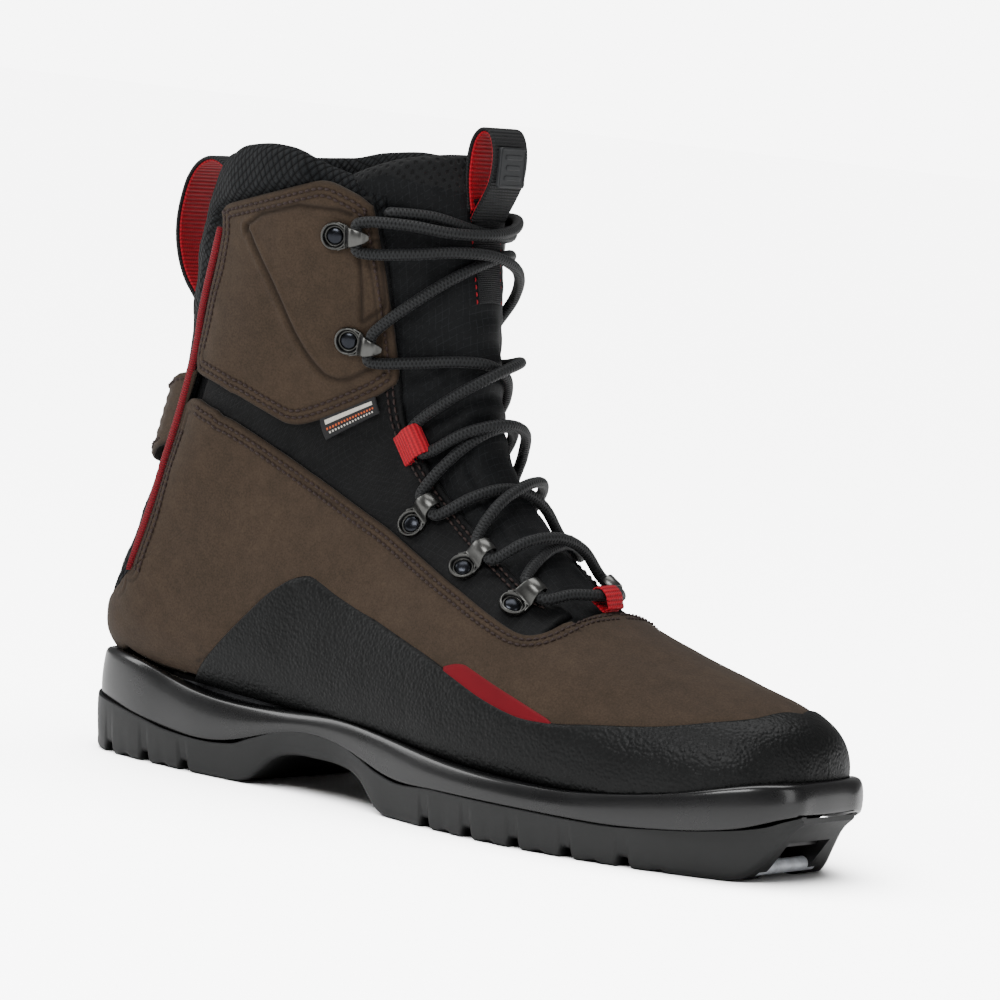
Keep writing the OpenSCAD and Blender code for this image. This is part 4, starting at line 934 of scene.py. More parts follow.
def build_back():
    # black knit: back strip and padded collar in one piece, rolled over the top and down inside
    n_out, n_in = 96, 30
    J = 60
    s = linear(-1, 1, 2 * J + 1)
    a_top = 134.0
    rows_u, rows_off, ths = [], [], []
    th_top = s * a_top
    RM = rim(th_top)
    # outer face, from the bottom tip to just under the rim
    q = linear(0, 1, n_out)
    roll = 4.6
    mmu = 8.6
    for t in q:
        utop = RM - roll / mmu
        u = 17.36 + (utop - 17.36) * t
        lim = np.where(u < 23.75, pipe_th(u) - .6, 0)
        lim = np.interp(u, [17.36, 23.2, 23.9, 24.3], [0, 0, 0, 0]) + 0
        w = np.clip((t - .80) / .12, 0, 1)
        w = w * w * (3 - 2 * w)
        narrow = (pipe_th(np.minimum(u, 23.6)) - .4) * np.abs(s) ** 1.0 * np.sign(s)
        th = narrow * (1 - w) + th_top * w
        puff = np.clip((t - .55) / .3, 0, 1)
        off = -.35 + 1.5 * puff * puff * (3 - 2 * puff)
        ath = np.abs(th)
        cv = np.clip((ath - 50) / 9, 0, 1) * np.clip((137 - ath) / 8, 0, 1)
        cv = cv * cv * (3 - 2 * cv)
        ab = np.clip((u - _ctt(ath) + .22) / .42, 0, 1)
        ab = ab * ab * (3 - 2 * ab)
        off = off * (1 - cv) + cv * (-2.0 + 3.2 * ab)
        off = off - .9 * np.clip((np.abs(s) - .9) / .1, 0, 1) ** 2
        rows_u.append(u), rows_off.append(off), ths.append(th)
    nroll = 16
    base_off = rows_off[-1]
    for k in range(1, nroll + 1):
        ph = math.pi * k / nroll
        rows_u.append(RM - roll / mmu + roll / mmu * math.sin(ph))
        rows_off.append(base_off - roll * (1 - math.cos(ph)))
        ths.append(th_top)
    for k in range(1, n_in + 1):
        t = k / n_in
        rows_u.append(RM - roll / mmu - t * 2.2)
        rows_off.append(base_off - 2 * roll + 3.4 * t * t)
        ths.append(th_top)
    U, OF, TH = A(rows_u), A(rows_off), A(ths)
    Ucl = np.minimum(U, 25.97)
    N = NO(np.minimum(Ucl, 25.9), TH)
    P = S0(np.minimum(Ucl, 26), TH) + N * OF[..., None]
    up = unit(S0(np.full_like(U, 26.0), TH) - S0(np.full_like(U, 25.0), TH))
    P = P + up * (np.maximum(U - 25.97, 0) * mmu)[..., None]
    soft = lumps(P.reshape(-1, 3), 26, 6).reshape(U.shape) * .35 + lumps(P.reshape(-1, 3) * A([1, 1, 1.8]), 13, 2).reshape(U.shape) * .1
    P = P + N * soft[..., None]
    nr, nc = U.shape
    idx = np.arange(nr * nc).reshape(nr, nc)
    F = np.stack([idx[:-1, :-1], idx[:-1, 1:], idx[1:, 1:], idx[1:, :-1]], -1).reshape(-1, 4)
    inner = P - N * .01
    x, y = skin_xy(np.minimum(U, 25.99).ravel(), TH.ravel())
    # run the pattern's length on over the roll and down inside
    seg = np.concatenate([np.zeros((1, nc)), np.linalg.norm(np.diff(P, axis=0), axis=2)])
    x = np.cumsum(seg, axis=0).ravel()
    V = P.reshape(-1, 3)
    thick = 1.0
    V2 = (P - np.where((np.arange(nr) < n_out)[:, None, None], N, 0) * thick).reshape(-1, 3)
    c = S0(24.0, 90.0)
    ctr = A([85, 0, 200.0])
    # thickness: push the roll and the inner face towards the pad's own middle
    mid = P[n_out - 1][None] - N[n_out - 1][None] * roll
    d = unit(mid - P)
    V2 = np.where((np.arange(nr) < n_out)[:, None, None], P - N * thick, P + d * thick)
    inn = np.arange(nr) >= n_out + nroll
    V2[inn] = P[inn] + N[inn] * thick
    V2 = V2.reshape(-1, 3)
    k = len(V)
    a, b, c2, dd = V[F[:, 0]], V[F[:, 1]], V[F[:, 2]], V[F[:, 3]]
    if np.einsum("ij,ij->i", np.cross(c2 - a, dd - b), N.reshape(-1, 3)[F[:, 0]])[: (n_out - 2) * (nc - 1)].sum() < 0:
        F = F[:, ::-1]
    B = boundary(F)
    faces = np.concatenate([F, F[:, ::-1] + k, np.stack([B[:, 1], B[:, 0], B[:, 0] + k, B[:, 1] + k], 1)])
    sk = np.stack([x, y, 0 * x], 1)
    ob = new_obj("v_collar", np.concatenate([V, V2]), faces, MT["mesh"], {"skin": np.concatenate([sk, sk])})
    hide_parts("collar_mesh", "collar_foam", "back_strip")
    bends(ob)


def build_piping():
    for sg, nm in ((1, "lateral"), (-1, "medial")):
        U = linear(17.3, 23.95, 130)
        th = pipe_th(U)
        P = S(U, sg * th, .75)
        # flat fin of webbing folded round a cord: oval section
        Tn = unit(np.gradient(P, axis=0))
        N = NO(U, sg * th)
        B = np.cross(Tn, N)
        k = 12
        a = np.arange(k) * 2 * math.pi / k
        w = 1.5 * np.interp(U, [17.3, 18.2, 23.6, 23.95], [.35, 1, 1, .7])
        V = P[:, None] + (B[:, None] * np.cos(a)[None, :, None] * w[:, None, None] + N[:, None] * np.sin(a)[None, :, None] * 1.45)
        n = len(P)
        i, j = np.meshgrid(np.arange(n - 1), np.arange(k), indexing="ij")
        F = [tuple(f) for f in np.stack([i * k + j, i * k + (j + 1) % k, (i + 1) * k + (j + 1) % k, (i + 1) * k + j], -1).reshape(-1, 4)]
        F += [tuple(range(k - 1, -1, -1)), tuple((n - 1) * k + q for q in range(k))]
        s = np.concatenate([[0], np.cumsum(np.linalg.norm(np.diff(P, axis=0), axis=1))])
        sk = np.stack([np.repeat(s, k), np.tile(a * 1.4, n), np.zeros(n * k)], 1)
        ob = new_obj("v_piping_" + nm, V.reshape(-1, 3), F, MT["piping"], {"skin": sk})
        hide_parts("piping_" + nm)
        bends(ob)


def build_band():
    # leather band round the back of the ankle: stands off the strip, its ends tuck under the piping
    U0 = cur([[0,20.3],[40,20.3],[60,20.25]])
    U1 = cur([[0,21.6],[40,21.6],[60,21.5]])
    n, m = 30, 81
    a = linear(-59.5, 59.5, m)
    t = linear(0, 1, n)[:, None]
    U = U0(np.abs(a))[None, :] * (1 - t) + U1(np.abs(a))[None, :] * t
    TH = np.repeat(a[None, :], n, 0)
    OFF = np.repeat(np.interp(np.abs(a), [0, 30, 48, 56, 59.5], [4.2, 4.1, 3.3, 1.4, .5])[None, :], n, 0)

    def disp(P, d, u, th):
        fl = np.exp(-((np.abs(th) - 40) / 12) ** 2)
        return fl * .22 * np.sin(P[:, 2] * 1.5 + np.abs(th) * .05) * np.clip(d / 2, 0, 1) + grooves(d, (2.4,), .15)
    ob, sk = sheet("v_achilles_band", U, TH, None, OFF, 1.5, MT["nubuck"], edge=.75, disp=disp)
    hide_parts("achilles_band")
    sk = with_kd(sk)
    for row, sd in ((0, 1), (-1, -1)):
        stitches("brown", [(U[row, j], TH[row, j]) for j in range(4, m - 4)], sk, 2.4, side=sd, pitch=2.9, length=2.0, off=[OFF[row, j] for j in range(4, m - 4)])
    bends(ob)


def build_lining():
    U = np.concatenate([linear(.6, 8.8, 44)[:-1], linear(8.8, 24.0, 84)])
    J1, J2 = 34, 10
    b = np.minimum(159, front(U) - 1.2)
    c0 = np.linspace(0, 1, J1 + 1)[None, :] * b[:, None]
    c1 = b[:, None] + (180 - b)[:, None] * np.linspace(0, 1, J2 + 1)[None, 1:]
    J = J1 + J2
    TH = mirrored(np.concatenate([c0, c1], 1))[:, :-1]
    UU = np.repeat(U[:, None], TH.shape[1], 1)
    cols = np.arange(TH.shape[1])
    h = np.where(cols >= J, cols - J, J - 1 - cols)
    mask = ~((h[None, :] >= J1) & (U[:-1] > 8.7)[:, None])
    ob, sk = sheet("v_lining", UU, TH, mask, -4.3, 2.6, MT["lining"], edge=.8, closed=True,
                   disp=lambda P, d, u, th: lumps(P, 24, 3) * .2 - .2)
    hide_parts("bootie_lining")
    bends(ob)


def build_tongue():
    # rows run from the throat to the rolled top; x in -1..1 across
    def half_w(U):
        return np.interp(U, [8.3, 9.2, 10, 12, 16, 20, 23, 24.2, 25.4], [22, 27, 32, 38, 42, 47, 54, 60, 62])
    x = linear(-1, 1, 97)

    def profile(U, X):
        ax = np.abs(X)
        f = 1 - ax ** 2.6
        lo = -4.0
        # centre stands proud, two soft vertical folds where the gussets begin
        v = lo + (3.4 + np.interp(U, [8.3, 9, 9.6, 14, 20, 24], [-2.6, -1.6, -.6, .2, .6, 1.6])) * f
        v = v - .7 * np.exp(-((ax - .52) / .07) ** 2) * np.interp(U, [9, 11, 22, 24], [.3, 1, 1, .2])
        return v
    # face
    utop = 25.35 - .9 * np.abs(x) ** 2.2
    q = linear(0, 1, 170)
    U = 8.35 + (utop[None, :] - 8.35) * q[:, None]
    TH = 180 + x[None, :] * half_w(U)
    OF = profile(U, np.repeat(x[None, :], len(q), 0))
    roll = 3.6
    mmu = 8.6
    rows = [(U[i], TH[i], OF[i]) for i in range(len(q))]
    nroll, n_in = 14, 60
    for k in range(1, nroll + 1):
        ph = math.pi * k / nroll
        rows.append((U[-1] + roll / mmu * math.sin(ph), TH[-1], OF[-1] - roll * (1 - math.cos(ph))))
    for k in range(1, n_in + 1):
        t = k / n_in
        uu = utop - t * 8.0
        rows.append((uu, 180 + x * half_w(uu), OF[-1] - 2 * roll + (-8.0 - (OF[-1] - 2 * roll)) * min(1, t * 2.2)))
    U, TH, OF = A([r[0] for r in rows]), A([r[1] for r in rows]), A([r[2] for r in rows])
    N = NO(np.minimum(U, 25.9), TH)
    P = S0(np.minimum(U, 26), TH) + N * OF[..., None]
    soft = lumps(P.reshape(-1, 3), 22, 8 % 4).reshape(U.shape) * .35 + lumps(P.reshape(-1, 3) * A([1, .5, 1.6]), 12, 3).reshape(U.shape) * .14
    crease = np.exp(-((U - 15.5) / 2.6) ** 2) * .5 * np.sin(U * 5.1 + .8 * np.abs(TH - 180) / 20)
    soft = soft + crease * (np.arange(len(U)) < 170)[:, None]
    P = P + N * soft[..., None]
    nr, nc = U.shape
    idx = np.arange(nr * nc).reshape(nr, nc)
    F = np.stack([idx[:-1, :-1], idx[:-1, 1:], idx[1:, 1:], idx[1:, :-1]], -1).reshape(-1, 4)
    face_rows = len(q)
    mid = (P[face_rows - 1] - N[face_rows - 1] * roll)[None]
    thick = 1.0
    r = np.arange(nr)
    V2 = P + unit(mid - P) * thick
    V2[r < face_rows] = (P - N * thick)[r < face_rows]
    V2[r >= face_rows + nroll] = (P + N * thick)[r >= face_rows + nroll]
    V = P.reshape(-1, 3)
    k = len(V)
    a, b, c2, dd = V[F[:, 0]], V[F[:, 1]], V[F[:, 2]], V[F[:, 3]]
    nf = (face_rows - 2) * (nc - 1)
    if np.einsum("ij,ij->i", np.cross(c2 - a, dd - b), N.reshape(-1, 3)[F[:, 0]])[:nf].sum() < 0:
        F = F[:, ::-1]
    B = boundary(F)
    faces = np.concatenate([F, F[:, ::-1] + k, np.stack([B[:, 1], B[:, 0], B[:, 0] + k, B[:, 1] + k], 1)])
    xs = np.cumsum(np.concatenate([np.zeros((1, nc)), np.linalg.norm(np.diff(P, axis=0), axis=2)]), axis=0).ravel()
    ys = np.cumsum(np.concatenate([np.zeros((nr, 1)), np.linalg.norm(np.diff(P, axis=1), axis=2)], 1), axis=1)
    ys = (ys - ys[:, nc // 2][:, None]).ravel()
    sk = np.stack([xs, ys, 0 * xs], 1)
    ob = new_obj("v_tongue", np.concatenate([V, V2.reshape(-1, 3)]), faces, [MT["ripstop2"], MT["perf"]], {"skin": np.concatenate([sk, sk])})
    # the perforated lining comes over the top and shows in front along a slanting seam
    un, xn = U.ravel(), np.abs(np.repeat(x[None, :], nr, 0).ravel())
    w = ((np.repeat(r, nc) >= face_rows - 1) | (un > 23.75 + 1.5 * xn ** 1.2)).astype(float)
    w2 = np.concatenate([w, w])
    ob.data.polygons.foreach_set("material_index", (w2[faces].mean(1) > .5).astype(np.int32))
    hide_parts("tongue_shell", "tongue_padding", "tongue_lining")
    bends(ob)
    sk = with_kd(dict(P=P[:face_rows].reshape(-1, 3), N=N[:face_rows].reshape(-1, 3)))
    # strap down the middle
    U = linear(19.9, 23.75, 60)
    X = linear(-1, 1, 21)
    TH = 180 + X[None, :] * np.interp(U, [19.9, 23.75], [8.2, 8.8])[:, None]
    UU = np.repeat(U[:, None], 21, 1)
    OF = profile(UU, (TH - 180) / half_w(UU)) + 1.05
    st, ss = sheet("v_tongue_strap", UU, TH, None, OF, 1.0, MT["web_black"], edge=.4,
                   disp=lambda P, d, u, th: lumps(P, 22, 0) * .3)
    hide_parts("tongue_strap")
    bends(st)
    for sd in (-1, 1):
        stitches("red", [(u, 180 + sd * float(np.interp(u, [19.9, 23.75], [9.0, 9.6]))) for u in linear(19.9, 23.6, 40)], sk, 0, pitch=2.6, length=1.6, r=.26, sink=-.25)
    return sk


# ------------------------------------------------------------------ ribbons
def ribbon(name, path, width, t0, t1, mat, ease=None, body=None, nodes=(), round_=.45, wob=0.0):
    """Webbing of rounded edge: path in the x-z plane, t0..t1 its thickness range on the path's left."""
    P = smooth_path([(p[0], 0, p[1]) for p in path], .9)
    T = unit(np.gradient(P, axis=0))
    L = np.cross(A([0, 1.0, 0]), T) * -1
    # left of travel: (-tz, tx)
    L = np.stack([-T[:, 2], 0 * T[:, 0], T[:, 0]], 1)
    s = np.concatenate([[0], np.cumsum(np.linalg.norm(np.diff(P, axis=0), axis=1))])
    w = width / 2
    tm, th = (t0 + t1) / 2, (t1 - t0) / 2
    sec = []
    for y in np.linspace(-w + round_, w - round_, 15):
        sec.append((y, th))
    for a in (60, 30, 0, -30, -60):
        sec.append((w - round_ + round_ * math.cos(math.radians(a)), th * math.sin(math.radians(a))))
    for y in np.linspace(w - round_, -w + round_, 15):
        sec.append((y, -th))
    for a in (-120, -150, 180, 150, 120):
        sec.append((-w + round_ + round_ * math.cos(math.radians(a)), th * math.sin(math.radians(a))))
    sec = A(sec)
    k, n = len(sec), len(P)
    bow = wob * np.sin(s / s[-1] * math.pi * 3)[:, None] * (sec[:, 0] / w)[None, :] ** 2
    V = P[:, None] + A([0, 1.0, 0])[None, None] * sec[None, :, 0, None] + L[:, None] * (tm + sec[None, :, 1] + bow)[..., None]
    i, j = np.meshgrid(np.arange(n - 1), np.arange(k), indexing="ij")
    F = [tuple(f) for f in np.stack([i * k + j, (i + 1) * k + j, (i + 1) * k + (j + 1) % k, i * k + (j + 1) % k], -1).reshape(-1, 4)]
    F += [tuple(range(k)), tuple((n - 1) * k + q for q in range(k - 1, -1, -1))]
    sk = np.stack([np.repeat(s, k), np.tile(sec[:, 0], n), np.zeros(n * k)], 1)
    ob = new_obj(name, V.reshape(-1, 3), F, mat, {"skin": sk})
    bm_fix(ob)
    if nodes:
        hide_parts(*nodes)
    if body:
        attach(ob, body)
    return ob, P, L, s


def bm_fix(ob):
    import bmesh
    bm = bmesh.new()
    bm.from_mesh(ob.data)
    bmesh.ops.recalc_face_normals(bm, faces=bm.faces)
    bm.to_mesh(ob.data)
    bm.free()


HT = [[31.4,209.4],[28,213.6],[22.5,215.6],[17,213.4],[13,208],[11,201],[10,193],[10.6,185],[12.8,177.5],[16,171.5],[20.0,166.8],[23.4,162.6],[25.1,158.6],[25.3,153.2]]
TT = [[140.3,205.3],[141.9,209.0],[144.3,213.7],[146.6,219.2],[147.4,226],[146.6,232],[144.4,236],[141.4,236.4],[138.8,233.6],[137.5,228.6],[137.2,223],[137.6,217.5],[138.6,212],[139.5,208.4]]


def build_tabs():
    ribbon("v_heel_tab", HT, 22, -1.2, .05, MT["web_black"], body="cuff", nodes=("heel_pull_tab",), wob=.2)
    ribbon("v_heel_tab_red", HT, 20.4, .0, .85, MT["web_red"], body="cuff", nodes=("heel_tab_lining",), wob=.2)
    ribbon("v_tongue_tab", TT, 19, -1.2, .05, MT["web_black"], body="tongue_tab", nodes=("tongue_pull_tab",))
    ribbon("v_tongue_tab_red", TT, 17.4, .0, .85, MT["web_red"], body="tongue_tab", nodes=("tongue_tab_lining",))
    # rubber patch: rounded slab with a raised rim and plain bars
    import bmesh
    bm = bmesh.new()

    def slab(cx, cy, cz, w, h, t, r, bev):
        V = []
        for sx, sy in ((1, 1), (-1, 1), (-1, -1), (1, -1)):
            for a in range(5):
                an = math.radians({(1, 1): 0, (-1, 1): 90, (-1, -1): 180, (1, -1): 270}[(sx, sy)] + a * 22.5)
                V.append((sx * (w / 2 - r) + r * math.cos(an), sy * (h / 2 - r) + r * math.sin(an)))
        lay = []
        for off, ins in ((0, 0), (t - bev, 0), (t - bev * .3, bev * .3), (t, bev)):
            ring = []
            for (y, z) in V:
                f = 1 - ins / (min(w, h) / 2)
                ring.append(bm.verts.new(M([cx + off, cy + y * f, cz + z * f])))
            lay.append(ring)
        n = len(V)
        for A_, B_ in zip(lay, lay[1:]):
            for i in range(n):
                bm.faces.new((A_[i], A_[(i + 1) % n], B_[(i + 1) % n], B_[i]))
        bm.faces.new(lay[-1])
        bm.faces.new(lay[0][::-1])
    x0 = 148.45
    slab(x0, 0, 224.5, 15, 14, 1.2, 1.2, .3)
    for k, z in enumerate((220.9, 224.5, 228.1)):
        slab(x0 + 1.15, 0, z, 9.4 - 1.6 * (k % 2), 1.7, .45, .8, .2)
    for y in (-6.6, 6.6):
        slab(x0 + 1.1, y, 224.5, .7, 12.4, .35, .3, .12)
    for z in (218.2, 230.8):
        slab(x0 + 1.1, 0, z, 13.4, .7, .35, .3, .12)
    me = bpy.data.meshes.new("v_tab_patch")
    bm.to_mesh(me)
    bm.free()
    me.materials.append(MT["patch"])
    me.polygons.foreach_set("use_smooth", np.full(len(me.polygons), False))
    ob = bpy.data.objects.new("v_tab_patch", me)
    bpy.context.scene.collection.objects.link(ob)
    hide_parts("tab_patch")
    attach(ob, "tongue_tab")


# ------------------------------------------------------------------ metalwork
EY = [[12.95, 137.8], [11.1, 145], [9.75, 152.5]]
HK = [[19.75, 132.2], [22.95, 124.5]]
LP = [15.0, 145.2]
E0 = -2.0
RO = 3.7
RC = 8.6
OE, OH = E0 + RO, .3 + RO


def local(u, th, o):
    p = S(u, th, o)
    z = NO(u, th)
    x0 = unit(S0(u + .05, th) - S0(u - .05, th))
    y = unit(np.cross(z, x0))
    x = np.cross(y, z)
    return p, x, y, z


def plate_and_ring(V, F, G, frame_, sd, hook):
    """One lace channel: stamped plate from a riveted ring, curled over the lace."""
    p, x, y, z = frame_
    y = y * sd

    def put(q):
        return p + x * q[0] + y * q[1] + z * q[2]
    # ring: lathe profile (radius, height) about (0, 9)
    prof = [(1.95, .0), (4.7, .0), (4.9, .3), (4.9, 1.2), (4.72, 1.75), (4.38, 1.95), (4.05, 1.75), (3.75, .9), (3.55, .35), (1.95, .3)]
    k = 32
    b = len(V)
    for r, h in prof:
        for i in range(k):
            a = 2 * math.pi * i / k
            V.append(put((r * math.cos(a), RC + r * math.sin(a), h)))
    n = len(prof)
    for i in range(n):
        for j in range(k):
            F.append((b + i * k + j, b + ((i + 1) % n) * k + j, b + ((i + 1) % n) * k + (j + 1) % k, b + i * k + (j + 1) % k))
            G.append(0)
    # folded plate: path in (y, z), width along x, tapering to a turned-down tip
    path = [(RC - 3.7, 1.45), (RC - 4.5, 2.1), (3.2, 3.6), (2.4, 5.0), (1.2, 6.1), (-.4, 6.45), (-1.8, 6.1), (-2.9, 5.2)]
    path += [(-4.1, 4.3)] if hook else [(-3.3, 4.1), (-3.3, 3.1)]
    path = smooth_path([(0, q[0], q[1]) for q in path], .5)
    T = unit(np.gradient(path, axis=0))
    Lf = np.stack([0 * T[:, 0], -T[:, 2], T[:, 1]], 1)
    s = np.linspace(0, 1, len(path))
    w = np.interp(s, [0, .12, .35, .6, .85, 1], [4.15, 4.2, 3.6, 2.9, 1.9, .8] if hook else [4.15, 4.2, 3.6, 3.0, 2.6, 2.4])
    sec = [(-1, .5), (-.86, 1), (.86, 1), (1, .5), (1, -.5), (.86, -1), (-.86, -1), (-1, -.5)]
    b = len(V)
    for i, c in enumerate(path):
        for (a, h) in sec:
            q = c + A([1.0, 0, 0]) * a * w[i] + Lf[i] * h * .5
            V.append(put(q))
    k = len(sec)
    for sx in (-1, 1):
        # cheek between the ring and the raised plate
        q0 = len(V)
        pts = [(RC - 1.2, 5.0, .2, 1.9), (RC - 2.6, 4.55, .2, 1.9), (RC - 3.8, 4.15, .2, 2.0), (RC - 4.6, 3.85, .5, 2.5), (3.3, 3.5, 1.6, 3.7), (2.8, 3.3, 2.8, 4.5)]
        for (yy, ww, z0, z1) in pts:
            for (dx, zz) in ((0, z0), (-.55, z0), (-.55, z1), (0, z1)):
                V.append(put((sx * (ww + dx), yy, zz)))
        for i in range(len(pts) - 1):
            for j in range(4):
                F.append((q0 + i * 4 + j, q0 + i * 4 + (j + 1) % 4, q0 + i * 4 + 4 + (j + 1) % 4, q0 + i * 4 + 4 + j))
                G.append(0)
        F += [(q0, q0 + 1, q0 + 2, q0 + 3), tuple(q0 + (len(pts) - 1) * 4 + j for j in (3, 2, 1, 0))]
        G += [0, 0]
    for i in range(len(path) - 1):
        for j in range(k):
            F.append((b + i * k + j, b + (i + 1) * k + j, b + (i + 1) * k + (j + 1) % k, b + i * k + (j + 1) % k))
            G.append(0)
    F.append(tuple(b + j for j in range(k)))
    F.append(tuple(b + (len(path) - 1) * k + j for j in range(k - 1, -1, -1)))
    G += [0, 0]


def rivet(V, F, frame_, sd):
    p, x, y, z = frame_
    y = y * sd
    prof = [(0, 1.35), (.9, 1.31), (1.7, 1.17), (2.4, .93), (2.9, .62), (3.15, .3), (1.8, .1), (1.8, -1.4), (0, -1.4)]
    k = 24
    b = len(V)
    for r, h in prof:
        for i in range(k):
            a = 2 * math.pi * i / k
            V.append(p + x * r * math.cos(a) + y * (RC + r * math.sin(a)) + z * h)
    for i in range(len(prof) - 1):
        for j in range(k):
            F.append((b + i * k + j, b + (i + 1) * k + j, b + (i + 1) * k + (j + 1) % k, b + i * k + (j + 1) % k))


def clean(ob, dist=2e-6):
    import bmesh
    bm = bmesh.new()
    bm.from_mesh(ob.data)
    bmesh.ops.remove_doubles(bm, verts=bm.verts, dist=dist)
    bmesh.ops.dissolve_degenerate(bm, dist=1e-6, edges=bm.edges)
    bmesh.ops.recalc_face_normals(bm, faces=bm.faces)
    bm.to_mesh(ob.data)
    bm.free()
    return ob


def build_metal():
    RV, RF = {"e": [], "h": []}, {"e": [], "h": []}
    for sg, nm in ((1, "lateral"), (-1, "medial")):
        for kind, pts, o, node, hook in (("e", EY, E0 + .05, "lower_eyelets_" + nm, False), ("h", HK, .5, "upper_hooks_" + nm, True)):
            V, F, G = [], [], []
            for (u, th) in pts:
                fr = local(u, sg * th, o)
                plate_and_ring(V, F, G, fr, sg, hook)
                rivet(RV[kind], RF[kind], fr, sg)
            ob = clean(new_obj("v_" + node, A(V), F, MT["hook"]))
            ob.data.set_sharp_from_angle(angle=math.radians(50))
            md = ob.modifiers.new("b", "BEVEL")
            md.width, md.segments, md.limit_method, md.angle_limit = .00022, 2, "ANGLE", math.radians(40)
            apply_mods(ob)
            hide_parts(node)
            bends(ob)
    for kind, node in (("e", "eyelet_rivets"), ("h", "hook_rivets")):
        ob = clean(new_obj("v_" + node, A(RV[kind]), RF[kind], MT["rivet"]))
        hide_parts(node)
        bends(ob)


def apply_mods(ob):
    dg = bpy.context.evaluated_depsgraph_get()
    me = bpy.data.meshes.new_from_object(ob.evaluated_get(dg))
    ob.modifiers.clear()
    ob.data = me


def web_loop(name, c, x, y, z, node, half=5.6, tail=9.0, r=3.35, sd=1.0, open_dir=1):
    """Red webbing folded round the lace: flat tail sewn down, round bight towards the throat."""
    path = [(tail, .35), (tail * .6, .45), (2.2, .6), (.2, .62), (-1.5, .95)]
    ring = [(-(2.95) * math.sin(math.radians(a)), 3.6 - 2.95 * math.cos(math.radians(a))) for a in np.linspace(52, 195, 8)]
    back = [(2.9, 5.6), (4.4, 4.0), (5.9, 2.5), (tail, 1.35)]
    path = smooth_path([(0, a, b) for a, b in path + ring + back], .7)
    T = unit(np.gradient(path, axis=0))
    Lf = np.stack([0 * T[:, 0], -T[:, 2], T[:, 1]], 1)
    sec = [(-1, .3), (-.9, 1), (-.3, 1), (.3, 1), (.9, 1), (1, .3), (1, -.3), (.9, -1), (.3, -1), (-.3, -1), (-.9, -1), (-1, -.3)]
    s = np.concatenate([[0], np.cumsum(np.linalg.norm(np.diff(path, axis=0), axis=1))])
    V, sk = [], []
    for i, q in enumerate(path):
        for (a, h) in sec:
            v = q + A([1.0, 0, 0]) * a * half + Lf[i] * h * .42
            V.append(c + x * v[0] + y * sd * v[1] + z * v[2])
            sk.append((s[i], a * half * .9, 0))
    k = len(sec)
    F = []
    for i in range(len(path) - 1):
        for j in range(k):
            F.append((i * k + j, (i + 1) * k + j, (i + 1) * k + (j + 1) % k, i * k + (j + 1) % k))
    F += [tuple(range(k)), tuple((len(path) - 1) * k + j for j in range(k - 1, -1, -1))]
    ob = new_obj(name, A(V), F, MT["web_red"], {"skin": A(sk)})
    bm_fix(ob)
    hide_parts(node)
    return ob


def build_loops():
    for sg, nm in ((1, "lateral"), (-1, "medial")):
        p, x, y, z = local(LP[0], sg * LP[1], E0 + .1)
        ob = web_loop("v_loop_" + nm, p, x, y, z, "loop_" + nm, half=5.6, tail=7.5, sd=sg)
        bends(ob)
    p, x, y, z = local(8.95, 180, .3)
    # throat loop: the bight lies up the instep, the tail is sewn under the vamp's edge
    ob = web_loop("v_loop_throat", p, y, -x, z, "throat_loop", half=4.8, tail=5.0)
    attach(ob, "foot")


# ------------------------------------------------------------------ lace
def mu(u, mm):
    return mm / np.linalg.norm(S0(u + .2, 140.) - S0(u - .2, 140.)) * .4


def bore(u, th, o, d):
    p = S(u, th, o)
    x = unit(S0(u + .05, th) - S0(u - .05, th))
    return [p - d * x, p, p + d * x]


def hop(u1, t1, o1, u2, t2, o2, mid, n, lift=0.0, dip=0.0):
    out = []
    for k in range(1, n + 1):
        t = k / (n + 1)
        out.append(S(u1 + (u2 - u1) * t + lift * math.sin(math.pi * t) - dip * math.sin(math.pi * t) ** 1.6, t1 + (t2 - t1) * t, o1 + (o2 - o1) * t + (mid - (o1 + o2) / 2) * math.sin(math.pi * t)))
    return out


def leg(a, ao, b, bo, mid, n, s, lift=0.0):
    return bore(a[0], s * a[1], ao, 5.0) + hop(a[0] + mu(a[0], 6), s * a[1], ao, b[0] - mu(b[0], 6), s * (360 - b[1]), bo, mid, n, lift)


def half_lace(s, mid):
    e, h, l = EY, HK, LP
    OL = E0 + 3.6
    tk = float(front(23.3)) + 3.6
    P = [S(8.95, 180, 4.1) + A([0, -s * 6, 0])] + hop(8.98, s * 176, 4, e[2][0] - mu(e[2][0], 6), s * e[2][1], OE, 3.4, 1)
    P += leg(e[2], OE, e[1], OE, mid, 3, s, .10) + leg(e[1], OE, e[0], OE, mid, 4, -s, .15) + leg(e[0], OE, l, OL, mid, 4, s, .3)
    P += leg(l, OL, h[0], OH, mid, 5, -s, -.25) + leg(h[0], OH, h[1], OH, mid, 5, s, .2)
    P += bore(h[1][0], -s * h[1][1], OH, 4.9) + hop(h[1][0] + mu(h[1][0], 5), -s * h[1][1], OH, 23.55, -s * (360 - tk), 3, mid, 5, 0, 1.15)
    P += [S(23.5, s * tk, 2.4), S(23.42, s * tk, -1.6), S(23.25, s * tk, -4.2), S(23.05, s * tk, -5.1), S(22.85, s * tk, -5.2)]
    return [np.asarray(q, float).reshape(3) for q in P]


